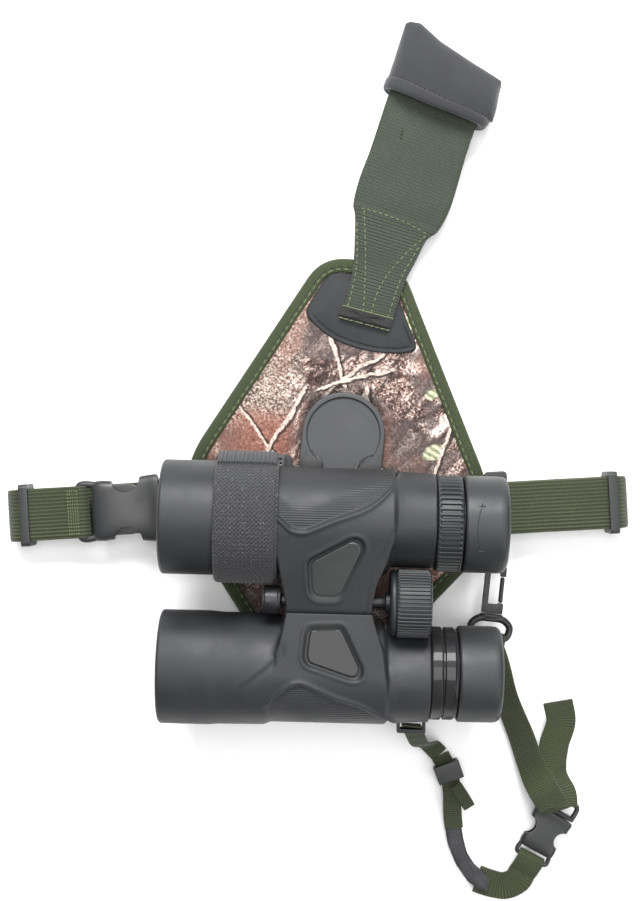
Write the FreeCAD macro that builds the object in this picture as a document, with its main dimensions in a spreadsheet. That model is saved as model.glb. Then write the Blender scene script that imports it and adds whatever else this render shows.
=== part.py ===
import FreeCAD, Part
import math
import os
import Sketcher
from FreeCAD import Placement, Rotation, Vector

# Binocular harness pack: a one-shoulder harness lying flat on its back, with a pair of
# binoculars held across it. Millimetres. The origin is on the back face of the panel, under
# the centre of the docking hub; +Y runs up the panel to the shoulder, +Z leaves the chest face.

DOC = FreeCAD.newDocument("binocular_harness_pack")
SHEET = DOC.addObject("Spreadsheet::Sheet", "dims")
FINISHED = []


# ---------------------------------------------------------------- driving dimensions
class Dim:
    """A length: its value now, and the expression that gives it from the sheet."""

    def __init__(self, value, text):
        self.value = value
        self.text = text

    def __add__(self, other):
        other = as_dim(other)
        return Dim(self.value + other.value, "(%s + %s)" % (self.text, other.text))

    def __sub__(self, other):
        other = as_dim(other)
        return Dim(self.value - other.value, "(%s - %s)" % (self.text, other.text))

    def __mul__(self, other):
        other = as_dim(other)
        return Dim(self.value * other.value, "(%s * %s)" % (self.text, other.text))

    def __neg__(self):
        return Dim(-self.value, "(0 - %s)" % self.text)


def as_dim(value):
    return value if isinstance(value, Dim) else Dim(float(value), "%.5f" % value)


def cell(name, value):
    row = len(SHEET.getUsedCells()) // 2 + 1
    SHEET.set("A%d" % row, name)
    SHEET.set("B%d" % row, str(value))
    SHEET.setAlias("B%d" % row, name)
    return Dim(float(value), "dims." + name)


panel_half = cell("panel_half", 74)
panel_top = cell("panel_top", 125.5)
panel_tip = cell("panel_tip", 86)
lining_thick = cell("lining_thick", 1.0)
tunnel_top = cell("tunnel_top", 3.0)
foam_top = cell("foam_top", 8.0)
face_top = cell("face_top", 9.0)
binding_top = cell("binding_top", 9.8)
binding_width = cell("binding_width", 7)
binding_wall = cell("binding_wall", 2.5)
patch_thick = cell("patch_thick", 1.2)
webbing_width = cell("webbing_width", 25)
webbing_thick = cell("webbing_thick", 1.4)
webbing_low = cell("webbing_low", 1.2)
wide_strap = cell("wide_strap", 46)
receptacle_half = cell("receptacle_half", 20)
plate_top = cell("plate_top", 12.5)
rail_top = cell("rail_top", 20)
rail_end = cell("rail_end", 28)
channel_half = cell("channel_half", 13)
slot_half = cell("slot_half", 9)
hub_radius = cell("hub_radius", 12.4)
bracket_low = cell("bracket_low", 22.5)
bracket_top = cell("bracket_top", 31)
barrel_height = cell("barrel_height", 57)
barrel_radius = cell("barrel_radius", 26)
hinge_offset = cell("hinge_offset", 36)
hinge_height = cell("hinge_height", 63)
low_offset = cell("low_offset", 69.3)
low_height = cell("low_height", 48)
knuckle_radius = cell("knuckle_radius", 9.3)
pin_radius = cell("pin_radius", 3)
wheel_radius = cell("wheel_radius", 15.5)
tube_radius = cell("tube_radius", 17.4)
eyecup_radius = cell("eyecup_radius", 22)
pad_height = cell("pad_height", 24.5)
buckle_height = cell("buckle_height", 14.5)
belt_scale = cell("belt_scale", 1)
tether_scale = cell("tether_scale", 0.62)
ring_scale = cell("ring_scale", 1.1)
tether_width = cell("tether_width", 15)
tether_thick = cell("tether_thick", 1.2)
thin_width = cell("thin_width", 9)
thin_thick = cell("thin_thick", 0.9)

WORLD = Placement()
BINOCULAR = Placement(Vector(), Rotation(Vector(0, 0, 1), 4.5))
LEFT_BELT = Placement(Vector(-103.5, -7.5, buckle_height.value), Rotation(Vector(0, 0, 1), 9.5))
RIGHT_BELT = Placement(Vector(77.5, 12, buckle_height.value), Rotation(Vector(0, 0, 1), 9))
TETHER = Placement(Vector(117, -144.5, 8), Rotation(Vector(0, 0, 1), 67.5))
PAD = Placement(Vector(28, 201, 0), Rotation(Vector(0, 0, 1), -16))


# ---------------------------------------------------------------- drawing helpers
def new_body(label, placement=WORLD):
    body = DOC.addObject("PartDesign::Body", label)
    body.Label = label
    body.Placement = placement
    FINISHED.append(body)
    return body


def shifted(placement, x, y, z):
    return placement.multiply(Placement(Vector(x, y, z), Rotation()))


def sketch_on(body, role, level=0):
    """A sketch on one of the body's own planes, moved along that plane's normal."""
    sketch = body.newObject("Sketcher::SketchObject", "outline")
    plane = next(o for o in body.Origin.OriginFeatures if o.Role == role)
    sketch.AttachmentSupport = [(plane, "")]
    sketch.MapMode = "FlatFace"
    sketch.setExpression("AttachmentOffset.Base.z", as_dim(level).text)
    return sketch


def polygon(sketch, points):
    """A closed polygon whose corners follow the sheet."""
    first = len(sketch.Geometry)
    count = len(points)
    points = [(as_dim(x), as_dim(y)) for x, y in points]
    corners = [Vector(x.value, y.value, 0) for x, y in points]
    for i in range(count):
        sketch.addGeometry(Part.LineSegment(corners[i], corners[(i + 1) % count]))
    for i in range(count):
        after = first + (i + 1) % count
        sketch.addConstraint(Sketcher.Constraint("Coincident", first + i, 2, after, 1))
        for kind, length in zip(("DistanceX", "DistanceY"), points[i]):
            rule = Sketcher.Constraint(kind, -1, 1, first + i, 1, length.value)
            sketch.setExpression("Constraints[%d]" % sketch.addConstraint(rule), length.text)


def circle(sketch, x, y, radius):
    x, y, radius = as_dim(x), as_dim(y), as_dim(radius)
    centre = Vector(x.value, y.value, 0)
    line = sketch.addGeometry(Part.Circle(centre, Vector(0, 0, 1), radius.value))
    for kind, length in zip(("DistanceX", "DistanceY"), (x, y)):
        rule = Sketcher.Constraint(kind, -1, 1, line, 3, length.value)
        sketch.setExpression("Constraints[%d]" % sketch.addConstraint(rule), length.text)
    index = sketch.addConstraint(Sketcher.Constraint("Radius", line, radius.value))
    sketch.setExpression("Constraints[%d]" % index, radius.text)


def rectangle(sketch, x_low, x_high, y_low, y_high):
    polygon(sketch, [(x_low, y_low), (x_high, y_low), (x_high, y_high), (x_low, y_high)])


def extrude(body, kind, sketch, length):
    feature = body.newObject("PartDesign::" + kind, kind.lower())
    feature.Profile = sketch
    feature.setExpression("Length", as_dim(length).text)
    DOC.recompute()
    return feature


def pad(body, sketch, length):
    return extrude(body, "Pad", sketch, length)


def pocket(body, sketch, length):
    """Cut from the sketch back against its plane's normal."""
    before = body.Shape.Volume
    feature = extrude(body, "Pocket", sketch, length)
    if body.Shape.Volume > before - 0.01:
        raise RuntimeError("a pocket of %s cuts nothing" % body.Label)
    return feature


def revolve(body, points):
    """Turn a half section, drawn as (along, radius), about the body's own X axis."""
    sketch = sketch_on(body, "XZ_Plane")
    polygon(sketch, points)
    feature = body.newObject("PartDesign::Revolution", "revolution")
    feature.Profile = sketch
    feature.ReferenceAxis = (sketch, ["H_Axis"])
    feature.Angle = 360
    DOC.recompute()
    return feature


def round_edges(body, radius, wanted):
    """Fillet the edges of the last feature for which wanted(edge) is true."""
    last = body.Tip
    edges = last.Shape.Edges
    names = ["Edge%d" % (i + 1) for i, edge in enumerate(edges) if wanted(edge)]
    fillet = body.newObject("PartDesign::Fillet", "fillet")
    fillet.Base = (last, names)
    fillet.setExpression("Radius", as_dim(radius).text)
    DOC.recompute()
    return fillet


def is_upright(edge, axis=2):
    """A straight edge along one axis of the body: 0 is X, 1 is Y, 2 is Z."""
    ends = [edge.Vertexes[0].Point, edge.Vertexes[-1].Point]
    gaps = [abs(ends[0][i] - ends[1][i]) for i in range(3)]
    return gaps[axis] > 1e-4 and sum(gaps) - gaps[axis] < 1e-4


def upright_at(test, axis=2):
    return lambda edge: is_upright(edge, axis) and test(edge.CenterOfMass)


def block(label, placement, x_low, x_high, y_low, y_high, z_low, z_high):
    body = new_body(label, placement)
    sketch = sketch_on(body, "XY_Plane", z_low)
    rectangle(sketch, x_low, x_high, y_low, y_high)
    pad(body, sketch, as_dim(z_high) - z_low)
    return body


def tube(label, placement, x_low, x_high, outer, inner):
    """A ring or a disc (inner 0) about the body's X axis."""
    body = new_body(label, placement)
    sketch = sketch_on(body, "YZ_Plane", x_low)
    circle(sketch, 0, 0, outer)
    if as_dim(inner).value > 0:
        circle(sketch, 0, 0, inner)
    pad(body, sketch, as_dim(x_high) - x_low)
    return body


def cut_window(body, level, depth, x_low, x_high, y_low, y_high):
    sketch = sketch_on(body, "XY_Plane", level)
    rectangle(sketch, x_low, x_high, y_low, y_high)
    pocket(body, sketch, depth)


def ribbon(label, stations, width, thick):
    """A flat strap through stations (x, y, z, width direction), as thick as the sheet says."""
    middles = [Vector(*station[:3]) for station in stations]
    across = [Vector(*station[3:]).normalize() for station in stations]
    knots = [0.0]
    for before, after in zip(middles, middles[1:]):
        knots.append(knots[-1] + (after - before).Length)
    sides = []
    for side in (-0.5, 0.5):
        curve = Part.BSplineCurve()
        curve.interpolate(
            Points=[m + a * (side * width.value) for m, a in zip(middles, across)],
            Parameters=knots,
        )
        sides.append(curve.toShape())
    face = Part.makeRuledSurface(sides[0], sides[1])
    strap = DOC.addObject("Part::Feature", label)
    strap.Label = label
    strap.Shape = face.makeOffsetShape(thick.value, 0.01, fill=True)
    FINISHED.append(strap)
    return strap


def fused(label, items):
    """Join finished items into one, which is exported in their place."""
    for item in items:
        FINISHED.remove(item)
    joined = DOC.addObject("Part::MultiFuse", label)
    joined.Shapes = items
    joined.Refine = True
    joined.Label = label
    FINISHED.append(joined)
    return joined


# ---------------------------------------------------------------- panel
def panel_points(inset):
    """The kite outline of the panel, moved inwards by inset."""
    inset = as_dim(inset)
    half = panel_half
    right = [
        (half - 54.5 - inset * 0.59, panel_top - inset),
        (half - inset, as_dim(21) - inset * 0.24),
        (half - inset, as_dim(-10) + inset * 0.33),
        (half - 60 - inset * 0.45, -panel_tip + inset),
    ]
    left = [(-x, y) for x, y in reversed(right)]
    return right + left


def panel_layer(label, inset, low, high):
    body = new_body(label)
    sketch = sketch_on(body, "XY_Plane", low)
    polygon(sketch, panel_points(inset))
    pad(body, sketch, as_dim(high) - low)
    round_edges(body, as_dim(12) - inset, is_upright)
    return body


def tunnel(body, low, high, side):
    """The sleeve the belt's return run lies in, from one side corner of the panel."""
    base = LEFT_BELT if side < 0 else RIGHT_BELT
    turn = math.tan(math.radians(9.5 if side < 0 else 9))
    middle = base.Base.y - turn * base.Base.x
    reach = [side * 12, side * 90]
    half = webbing_width.value / 2 + 0.5
    points = [(x, middle + turn * x + s * half) for x, s in
              ((reach[0], -1), (reach[1], -1), (reach[1], 1), (reach[0], 1))]
    sketch = sketch_on(body, "XY_Plane", high)
    polygon(sketch, points if side > 0 else points[::-1])
    pocket(body, sketch, as_dim(high) - low)


def strap_sleeve(body, low, high):
    """The opening at the top of the panel for the tail of the shoulder strap."""
    sketch = sketch_on(body, "XY_Plane", high)
    polygon(sketch, [(-9.5, 60), (17.5, 60), (26.5, 130), (-4, 130)])
    pocket(body, sketch, as_dim(high) - low)


def build_panel():
    panel_layer("panel_lining", binding_width, 0, lining_thick)
    foam = panel_layer("panel_foam", binding_wall, lining_thick, foam_top)
    for side in (-1, 1):
        tunnel(foam, lining_thick, tunnel_top, side)
    strap_sleeve(foam, lining_thick, tunnel_top)
    panel_layer("panel_face", binding_wall, foam_top, face_top)
    binding = panel_layer("edge_binding", 0, 0, binding_top)
    inner = sketch_on(binding, "XY_Plane", binding_top)
    polygon(inner, panel_points(binding_width))
    pocket(binding, inner, binding_top)
    round_edges(binding, as_dim(12) - binding_width, upright_at(is_inside_binding))
    groove = sketch_on(binding, "XY_Plane", face_top)
    polygon(groove, panel_points(binding_wall))
    pocket(binding, groove, face_top - lining_thick)
    round_edges(binding, as_dim(12) - binding_wall, upright_at(is_in_groove))
    for side in (-1, 1):
        tunnel(binding, lining_thick, tunnel_top, side)
    strap_sleeve(binding, lining_thick, tunnel_top)


def edge_gap(point):
    """Distance of a corner of the outline from the nearest corner of the outer outline."""
    corners = [Vector(x.value, y.value, 0) for x, y in panel_points(0)]
    return min((Vector(point.x, point.y, 0) - corner).Length for corner in corners)


def is_inside_binding(point):
    return abs(point.z - binding_top.value / 2) < 0.1 and edge_gap(point) > 6.5


def is_in_groove(point):
    middle = (face_top.value + lining_thick.value) / 2
    return abs(point.z - middle) < 0.1 and edge_gap(point) < 4


def build_patch():
    patch = new_body("top_patch")
    sketch = sketch_on(patch, "XY_Plane", face_top)
    polygon(sketch, [
        (-25.6, 96.6), (-19, 90.6), (-11, 85.4), (1, 82), (13, 80.6), (25, 81.6), (33, 83.8),
        (panel_half - 61, panel_top - 7.3), (-panel_half + 61, panel_top - 7.3),
    ])
    pad(patch, sketch, binding_top - face_top + patch_thick)
    round_edges(patch, 4, upright_at(lambda p: p.y > 110))


# ---------------------------------------------------------------- shoulder strap and pad
def build_shoulder():
    front = DOC.addObject("Part::Extrusion", "strap_plan")
    plan = [(-7.7, 92), (-3.8, 120), (-5, 144), (-7.1, 151), (-1.4, 178), (4.6, 206), (7.6, 216),
            (50, 204), (48.5, 196), (44.6, 182), (40, 158), (34.7, 142.5), (30.2, 138.2),
            (21.3, 116), (17.3, 92)]
    outline = Part.makePolygon([Vector(x, y, 0) for x, y in plan + plan[:1]])
    flat = DOC.addObject("Part::Feature", "strap_outline")
    flat.Shape = Part.Face(outline)
    front.Base = flat
    front.Dir = Vector(0, 0, 1)
    front.setExpression("LengthFwd", (pad_height - 0.5).text)
    run = [(88, 11.2), (126, 11.2), (165, 12.2), (204, 14.2), (222, 14.2)]
    side = [Vector(-20, y, z) for y, z in run]
    side += [Vector(-20, y, z + webbing_thick.value) for y, z in reversed(run)]
    sheet = DOC.addObject("Part::Feature", "strap_side")
    sheet.Shape = Part.Face(Part.makePolygon(side + side[:1]))
    slab = DOC.addObject("Part::Extrusion", "strap_slab")
    slab.Base = sheet
    slab.Dir = Vector(1, 0, 0)
    slab.setExpression("LengthFwd", (wide_strap + 40).text)
    strap = DOC.addObject("Part::MultiCommon", "shoulder_strap")
    strap.Shapes = [front, slab]
    strap.Label = "shoulder_strap"
    FINISHED.append(strap)

    ribbon("shoulder_strap_tail", [
        (4.5, 66, 2.8, 1, -0.12, 0), (6, 90, 2.8, 1, -0.12, 0), (9.5, 120, 2.8, 1, -0.12, 0),
        (14, 140, 3.8, 1, -0.15, 0), (19, 165, 6.6, 1, -0.2, 0), (25, 190, 9.8, 1, -0.25, 0),
        (30, 206, 10.6, 1, -0.28, 0), (33, 216, 10.6, 1, -0.28, 0),
    ], webbing_width, webbing_thick)


def pad_outline(sketch, low, grow):
    grow = as_dim(grow)
    polygon(sketch, [
        (as_dim(-26.5) - grow, low), (as_dim(24) + grow, low), (as_dim(27.5) + grow, 5),
        (as_dim(26.8) + grow, 21), (24.3, 25), (-10, 31.4), (-22.4, 36.2), (-28.5, 35),
        (as_dim(-29.5) - grow, 28), (as_dim(-29.5) - grow, 8),
    ])


def build_pad():
    sleeve = new_body("shoulder_pad", PAD)
    sketch = sketch_on(sleeve, "XY_Plane", 0.5)
    pad_outline(sketch, 4.2, 0)
    pad(sleeve, sketch, pad_height - 0.5)
    faces = (0.5, pad_height.value)
    round_edges(sleeve, 4, lambda e: e.BoundBox.ZLength < 1e-4
                and min(abs(e.CenterOfMass.z - f) for f in faces) < 1e-3
                and e.CenterOfMass.y > 4.5)
    mouth = sketch_on(sleeve, "XZ_Plane", -4.2)
    rectangle(mouth, -25, 23, 7, pad_height - 5)
    cavity = sleeve.newObject("PartDesign::Pocket", "mouth")
    cavity.Profile = mouth
    cavity.setExpression("Length", "18")
    DOC.recompute()
    hem = new_body("pad_hem", PAD)
    ring = sketch_on(hem, "XZ_Plane", -4.2)
    rectangle(ring, -28.5, 26.2, 0.5, pad_height + 0.4)
    pad(hem, ring, 4)
    round_edges(hem, 5, lambda e: is_upright(e, 1))
    hole = sketch_on(hem, "XZ_Plane", -4.2)
    rectangle(hole, -25, 23, 7, pad_height - 5)
    bore = hem.newObject("PartDesign::Pocket", "opening")
    bore.Profile = hole
    bore.Reversed = True
    bore.setExpression("Length", "4")
    DOC.recompute()


def build_strap_anchor():
    base = Placement(Vector(4.4, 97.2, 0), Rotation(Vector(0, 0, 1), -9))
    bar = block("strap_anchor", base, -13, 13, -2.6, 2.6, 12.7, 14.6)
    round_edges(bar, 1.2, is_upright)
    for x in (-14.2, 14.2):
        eyelet = sketch_on(bar, "XY_Plane", 12.7)
        circle(eyelet, x, 0, 1.5)
        pad(bar, eyelet, 1.9)


# ---------------------------------------------------------------- receptacle and hub
def arch(body, sketch_level, half, low, top, height):
    sketch = sketch_on(body, "XY_Plane", sketch_level)
    rectangle(sketch, -half, half, low, top)
    pad(body, sketch, height)
    round_edges(body, half - 0.1, is_upright)


def build_receptacle():
    plate = new_body("receptacle_plate")
    arch(plate, face_top, receptacle_half, -receptacle_half, 60.3, plate_top - face_top)
    recess = sketch_on(plate, "XY_Plane", plate_top)
    circle(recess, 0, 40, receptacle_half - 2.2)
    pocket(plate, recess, 1.2)
    rails = new_body("receptacle_rails")
    sketch = sketch_on(rails, "XY_Plane", plate_top)
    half = receptacle_half - 0.4
    rectangle(sketch, -half, half, -half, rail_end)
    pad(rails, sketch, rail_top - plate_top)
    round_edges(rails, half - 0.1, upright_at(lambda p: p.y < 0))
    seat_half = channel_half
    seat = sketch_on(rails, "XY_Plane", plate_top + 3.2)
    rectangle(seat, -seat_half, seat_half, 0, rail_end + 1)
    pocket(rails, seat, 3.2)
    seat_end = sketch_on(rails, "XY_Plane", plate_top + 3.2)
    circle(seat_end, 0, 0, seat_half)
    pocket(rails, seat_end, 3.2)
    slot = sketch_on(rails, "XY_Plane", rail_top)
    rectangle(slot, -slot_half, slot_half, 0, rail_end + 1)
    pocket(rails, slot, rail_top - plate_top - 3.2)
    slot_end = sketch_on(rails, "XY_Plane", rail_top)
    circle(slot_end, 0, 0, slot_half)
    pocket(rails, slot_end, rail_top - plate_top - 3.2)
    tips = upright_at(lambda p: p.y > rail_end.value - 0.1 and p.z > plate_top.value + 3.3)
    round_edges(rails, 4.2, tips)
    for level in (-21.2, 19.2):
        pin = sketch_on(rails, "YZ_Plane", level)
        circle(pin, 22, 16.5, 1.3)
        pad(rails, pin, 2)


def build_hub():
    hub = new_body("hub", BINOCULAR)
    levels = ((plate_top + 0.3, plate_top + 2.9, hub_radius),
              (plate_top + 2.9, rail_top + 0.4, slot_half - 0.4),
              (rail_top + 0.4, bracket_low, channel_half))
    for low, high, radius in levels:
        sketch = sketch_on(hub, "XY_Plane", low)
        circle(sketch, 0, 0, radius)
        pad(hub, sketch, high - low)


def build_bracket():
    bracket = new_body("bracket", BINOCULAR)
    sketch = sketch_on(bracket, "XY_Plane", bracket_low)
    polygon(sketch, [
        (-57, -29.5), (-21, -29.5), (-21, -15), (20, -15), (20, 15), (-21, 15), (-21, 29.5),
        (-57, 29.5),
    ])
    pad(bracket, sketch, bracket_top - bracket_low)
    round_edges(bracket, 3, is_upright)
    for side in (-1, 1):
        slot = sketch_on(bracket, "XY_Plane", bracket_top)
        rectangle(slot, -54.4, -25.6, side * 23.4, side * 27)
        pocket(bracket, slot, bracket_top - bracket_low)
    strap = new_body("hook_loop_strap", BINOCULAR)
    outer = sketch_on(strap, "YZ_Plane", -54)
    strap_section(outer, barrel_radius + 2.2, 26.1)
    pad(strap, outer, 28)
    inner = sketch_on(strap, "YZ_Plane", -26)
    strap_section(inner, barrel_radius + 0.2, 24)
    pocket(strap, inner, 28)
    keeper = new_body("strap_keeper", BINOCULAR)
    ring = sketch_on(keeper, "XY_Plane", 32)
    rectangle(ring, -55.4, -24.6, 23.1, 29)
    pad(keeper, ring, 7)
    cut_window(keeper, 39, 7, -54.15, -25.85, 24.3, 27.6)


def strap_section(sketch, radius, foot):
    """Half circle over the barrel with two legs down to the bracket."""
    radius = as_dim(radius)
    points = [(foot, bracket_low + 0.2), (radius, barrel_height)]
    for step in range(1, 16):
        turn = math.pi * step / 16
        points.append((radius * math.cos(turn), barrel_height + radius * math.sin(turn)))
    points += [(-radius, barrel_height), (-as_dim(foot), bracket_low + 0.2)]
    polygon(sketch, points)


# ---------------------------------------------------------------- binoculars
def upper():
    return shifted(BINOCULAR, 0, 0, barrel_height.value)


def lower():
    return shifted(BINOCULAR, 0, -low_offset.value, low_height.value)


def hinge():
    return shifted(BINOCULAR, 0, -hinge_offset.value, hinge_height.value)


def barrel(label, placement):
    body = new_body(label, placement)
    big = barrel_radius
    revolve(body, [
        (-79, 22.4), (-79, big - 1.2), (-77.8, big), (-56, big), (-52, big - 0.4),
        (-22, big - 0.8), (12, big - 0.6), (24, big - 2.6), (24, 22), (-66, 22), (-66, 20),
        (-68, 20), (-68, 22.4),
    ])
    return body


def neck(label, placement):
    """The narrow part of the armour between a barrel and its eyepiece rings."""
    return tube(label, placement, 24, 44.4, 20.3, tube_radius)


def lobe(body, points):
    sketch = sketch_on(body, "YZ_Plane", -24)
    polygon(sketch, points)
    pad(body, sketch, 47)


def turned(body, kind, x_low, x_high, radius, hinge_y, hinge_z):
    """Add or cut a cylinder about the folding hinge."""
    level = x_low if kind == "Pad" else x_high
    sketch = sketch_on(body, "YZ_Plane", level)
    circle(sketch, hinge_y, hinge_z, radius)
    extrude(body, kind, sketch, x_high - x_low)


def bore_out(body, radius, x_low, x_high):
    sketch = sketch_on(body, "YZ_Plane", x_high)
    circle(sketch, 0, 0, radius)
    pocket(body, sketch, x_high - x_low)


def build_upper_barrel():
    body = barrel("right_barrel", upper())
    rise = hinge_height - barrel_height
    lobe(body, [(-4, 25.6), (-hinge_offset + 2, rise + 9), (-hinge_offset, rise - 9), (-8, -24)])
    turned(body, "Pad", -24, 23, knuckle_radius, -hinge_offset, rise)
    bore_out(body, 22, -24, 23)
    for low, high in ((-24.1, -19), (18, 23.1)):
        turned(body, "Pocket", low, high, knuckle_radius + 0.5, -hinge_offset, rise)
    turned(body, "Pocket", -24.1, 23.1, pin_radius, -hinge_offset, rise)


def build_lower_barrel():
    body = barrel("left_barrel", lower())
    rise = hinge_height - low_height
    reach = low_offset - hinge_offset
    lobe(body, [(4, 24.8), (reach - 3, rise + 8.6), (reach + 2, rise - 8.4), (22, -8)])
    turned(body, "Pocket", -19.3, 18.3, knuckle_radius + 0.4, reach, rise)
    for low, high in ((-24, -19.3), (18.3, 23)):
        turned(body, "Pad", low, high, knuckle_radius, reach, rise)
    bore_out(body, 22, -24, 23)
    turned(body, "Pocket", -24.1, 23.1, pin_radius + 0.05, reach, rise)


def build_necks():
    neck("right_neck", upper())
    body = neck("left_neck", lower())
    lug = sketch_on(body, "XY_Plane", -9)
    rectangle(lug, 31, 44, -28.5, -18.7)
    pad(body, lug, 7)
    slot = sketch_on(body, "XY_Plane", -2)
    rectangle(slot, 32.2, 42.9, -26.8, -21.4)
    pocket(body, slot, 7)


def build_optics():
    for side, place in (("right", upper()), ("left", lower())):
        tube(side + "_objective_lens", place, -73, -68, 22.3, 0)
        prism = block(side + "_prism", place, -14, 20, -14, 14, -14, 14)
        round_edges(prism, 2, lambda e: is_upright(e, 0))
        eyepiece = new_body(side + "_eyepiece_tube", place)
        revolve(eyepiece, [
            (20, 13), (20, 22), (24, 22), (24, tube_radius), (69, tube_radius), (69, 14), (24, 14),
        ])
        tube(side + "_eyepiece_lens", place, 60, 65, 14, 0)
        cup = new_body(side + "_eyecup", place)
        revolve(cup, [
            (57.4, tube_radius + 0.1), (57.4, eyecup_radius - 1), (58.2, eyecup_radius),
            (75, eyecup_radius), (77.4, eyecup_radius - 2.4), (77.4, 15.6), (69.6, 15.6),
            (69.6, tube_radius + 0.1),
        ])
    tube("dioptre_ring", upper(), 44.8, 56.8, 21.6, tube_radius + 0.1)
    tube("left_ocular_ring", lower(), 44.4, 56.8, 21.3, tube_radius)


def build_hinge():
    shaft = tube("hinge_shaft", hinge(), -23.9, 23.3, pin_radius, 0)
    end = sketch_on(shaft, "YZ_Plane", 23.3)
    circle(end, 0, 0, 5)
    pad(shaft, end, 21.3)
    wheel = tube("focus_wheel", hinge(), 25, 43.6, wheel_radius, 5.05)
    sketch = sketch_on(wheel, "YZ_Plane", 43.6)
    count = 24
    for step in range(count):
        turn = 2 * math.pi * step / count
        circle(sketch, wheel_radius * math.cos(turn), wheel_radius * math.sin(turn), 0.8)
    pocket(wheel, sketch, 18.6)
    tube("tripod_socket", hinge(), -32, -24.1, 6.5, 2.55)


# ---------------------------------------------------------------- buckles and belts
def female_buckle(label, place, k):
    """Housing of a side-release buckle; +X is the mouth, Z runs through the thickness."""
    body = new_body(label, place)
    sketch = sketch_on(body, "XY_Plane", k * -4.5)
    side = [(-21, 12), (-18, 14.6), (-12, 15), (-8, 13.2), (5, 13.2), (12, 15.6), (20, 16)]
    points = [(k * x, k * y) for x, y in side] + [(k * x, k * -y) for x, y in reversed(side)]
    polygon(sketch, points)
    pad(body, sketch, k * 9)
    cut_window(body, k * 4.5, k * 9, k * -22, k * -11.5, k * -12.8, k * 12.8)
    mouth = sketch_on(body, "YZ_Plane", k * 20)
    rectangle(mouth, k * -12.4, k * 12.4, k * -2.6, k * 2.6)
    pocket(body, mouth, k * 28)
    window = sketch_on(body, "XZ_Plane", k * 17)
    rectangle(window, k * -4, k * 9, k * -2.4, k * 2.4)
    cut = body.newObject("PartDesign::Pocket", "windows")
    cut.Profile = window
    cut.setExpression("Length", (k * 34).text)
    DOC.recompute()
    bar = sketch_on(body, "XZ_Plane", k * -13.6)
    circle(bar, k * -18.4, 0, k * 1.9)
    pad(body, bar, k * 27.2)
    return body


def male_buckle(label, place, k):
    body = new_body(label, place)
    sketch = sketch_on(body, "XY_Plane", k * -4)
    polygon(sketch, [(k * x, k * y) for x, y in
                     ((20.4, -15.6), (30, -15), (33, -13), (33, 13), (30, 15), (20.4, 15.6))])
    pad(body, sketch, k * 8)
    cut_window(body, k * 4, k * 8, k * 23, k * 34, k * -12.8, k * 12.8)
    bar = sketch_on(body, "XZ_Plane", k * -13.4)
    circle(bar, k * 30.6, 0, k * 1.9)
    pad(body, bar, k * 26.8)
    guide = sketch_on(body, "XY_Plane", k * -1.8)
    rectangle(guide, k * -4, k * 21, k * -2.2, k * 2.2)
    pad(body, guide, k * 3.6)
    for side in (-1, 1):
        notch = sketch_on(body, "XY_Plane", k * 2.4)
        rectangle(notch, k * 20, k * 21.6, k * (side * 6.8), k * (side * 12.9))
        pocket(body, notch, k * 4.8)
    return body


def prong(label, place, k, side, root=21.3):
    body = new_body(label, place)
    sketch = sketch_on(body, "XY_Plane", k * -2.1)
    points = [(root, 7.4), (root, 10.6), (8, 11), (6, 12.1), (-3, 12.1), (-5.4, 9.6), (-5.4, 7.6),
              (4, 8)]
    polygon(sketch, [(k * x, k * (side * y)) for x, y in points])
    pad(body, sketch, k * 4.2)
    return body


def webbing_end(label, place, k, bar_x, tail_x, width, drop=0):
    """Webbing folded round a buckle's bar: both layers as one wedge, sewn at tail_x."""
    body = new_body(label, place)
    sketch = sketch_on(body, "XZ_Plane", -(width * 0.5))
    step = 1 if tail_x > bar_x else -1
    grip = 3.3
    polygon(sketch, [
        (k * (bar_x - step * grip), k * -1.6), (k * (bar_x - step * 2), k * -grip),
        (k * (bar_x + step * 2), k * -grip), (k * tail_x, k * (drop - 1.4)),
        (k * tail_x, k * (drop + 1.4)), (k * (bar_x + step * 2), k * grip),
        (k * (bar_x - step * 2), k * grip), (k * (bar_x - step * grip), k * 1.6),
    ])
    pad(body, sketch, width)
    hole = sketch_on(body, "XZ_Plane", -(width * 0.5))
    circle(hole, k * bar_x, 0, k * 2)
    cut = body.newObject("PartDesign::Pocket", "bar_hole")
    cut.Profile = hole
    cut.Reversed = True
    cut.setExpression("Length", width.text)
    DOC.recompute()
    return body


def belt_run(label, place, near, bend, buried):
    """Belt from the sewn fold out to its bend, round it and back into the panel's sleeve."""
    body = new_body(label, place)
    step = 1 if bend > near else -1
    low = webbing_low - buckle_height
    upper_edge = as_dim(1.4)
    half = webbing_width * 0.5
    sketch = sketch_on(body, "XZ_Plane", -half)
    order = sorted((near, bend))
    rectangle(sketch, order[0], order[1], low, upper_edge)
    pad(body, sketch, webbing_width)
    inner = sketch_on(body, "XZ_Plane", -half)
    inner_end = bend - step * webbing_thick.value
    order = sorted((near - step * 1.0, inner_end))
    rectangle(inner, order[0], order[1], low + webbing_thick, upper_edge - webbing_thick)
    cut = body.newObject("PartDesign::Pocket", "inside")
    cut.Profile = inner
    cut.Reversed = True
    cut.setExpression("Length", webbing_width.text)
    DOC.recompute()
    round_edges(body, 5.4, upright_at(lambda p: abs(p.x - inner_end) < 0.1, 1))
    round_edges(body, 6.8, upright_at(lambda p: abs(p.x - bend) < 0.1, 1))
    tail = sketch_on(body, "XZ_Plane", -half)
    order = sorted((near, buried))
    rectangle(tail, order[0], order[1], low, low + webbing_thick)
    pad(body, tail, webbing_width)
    return body


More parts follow.
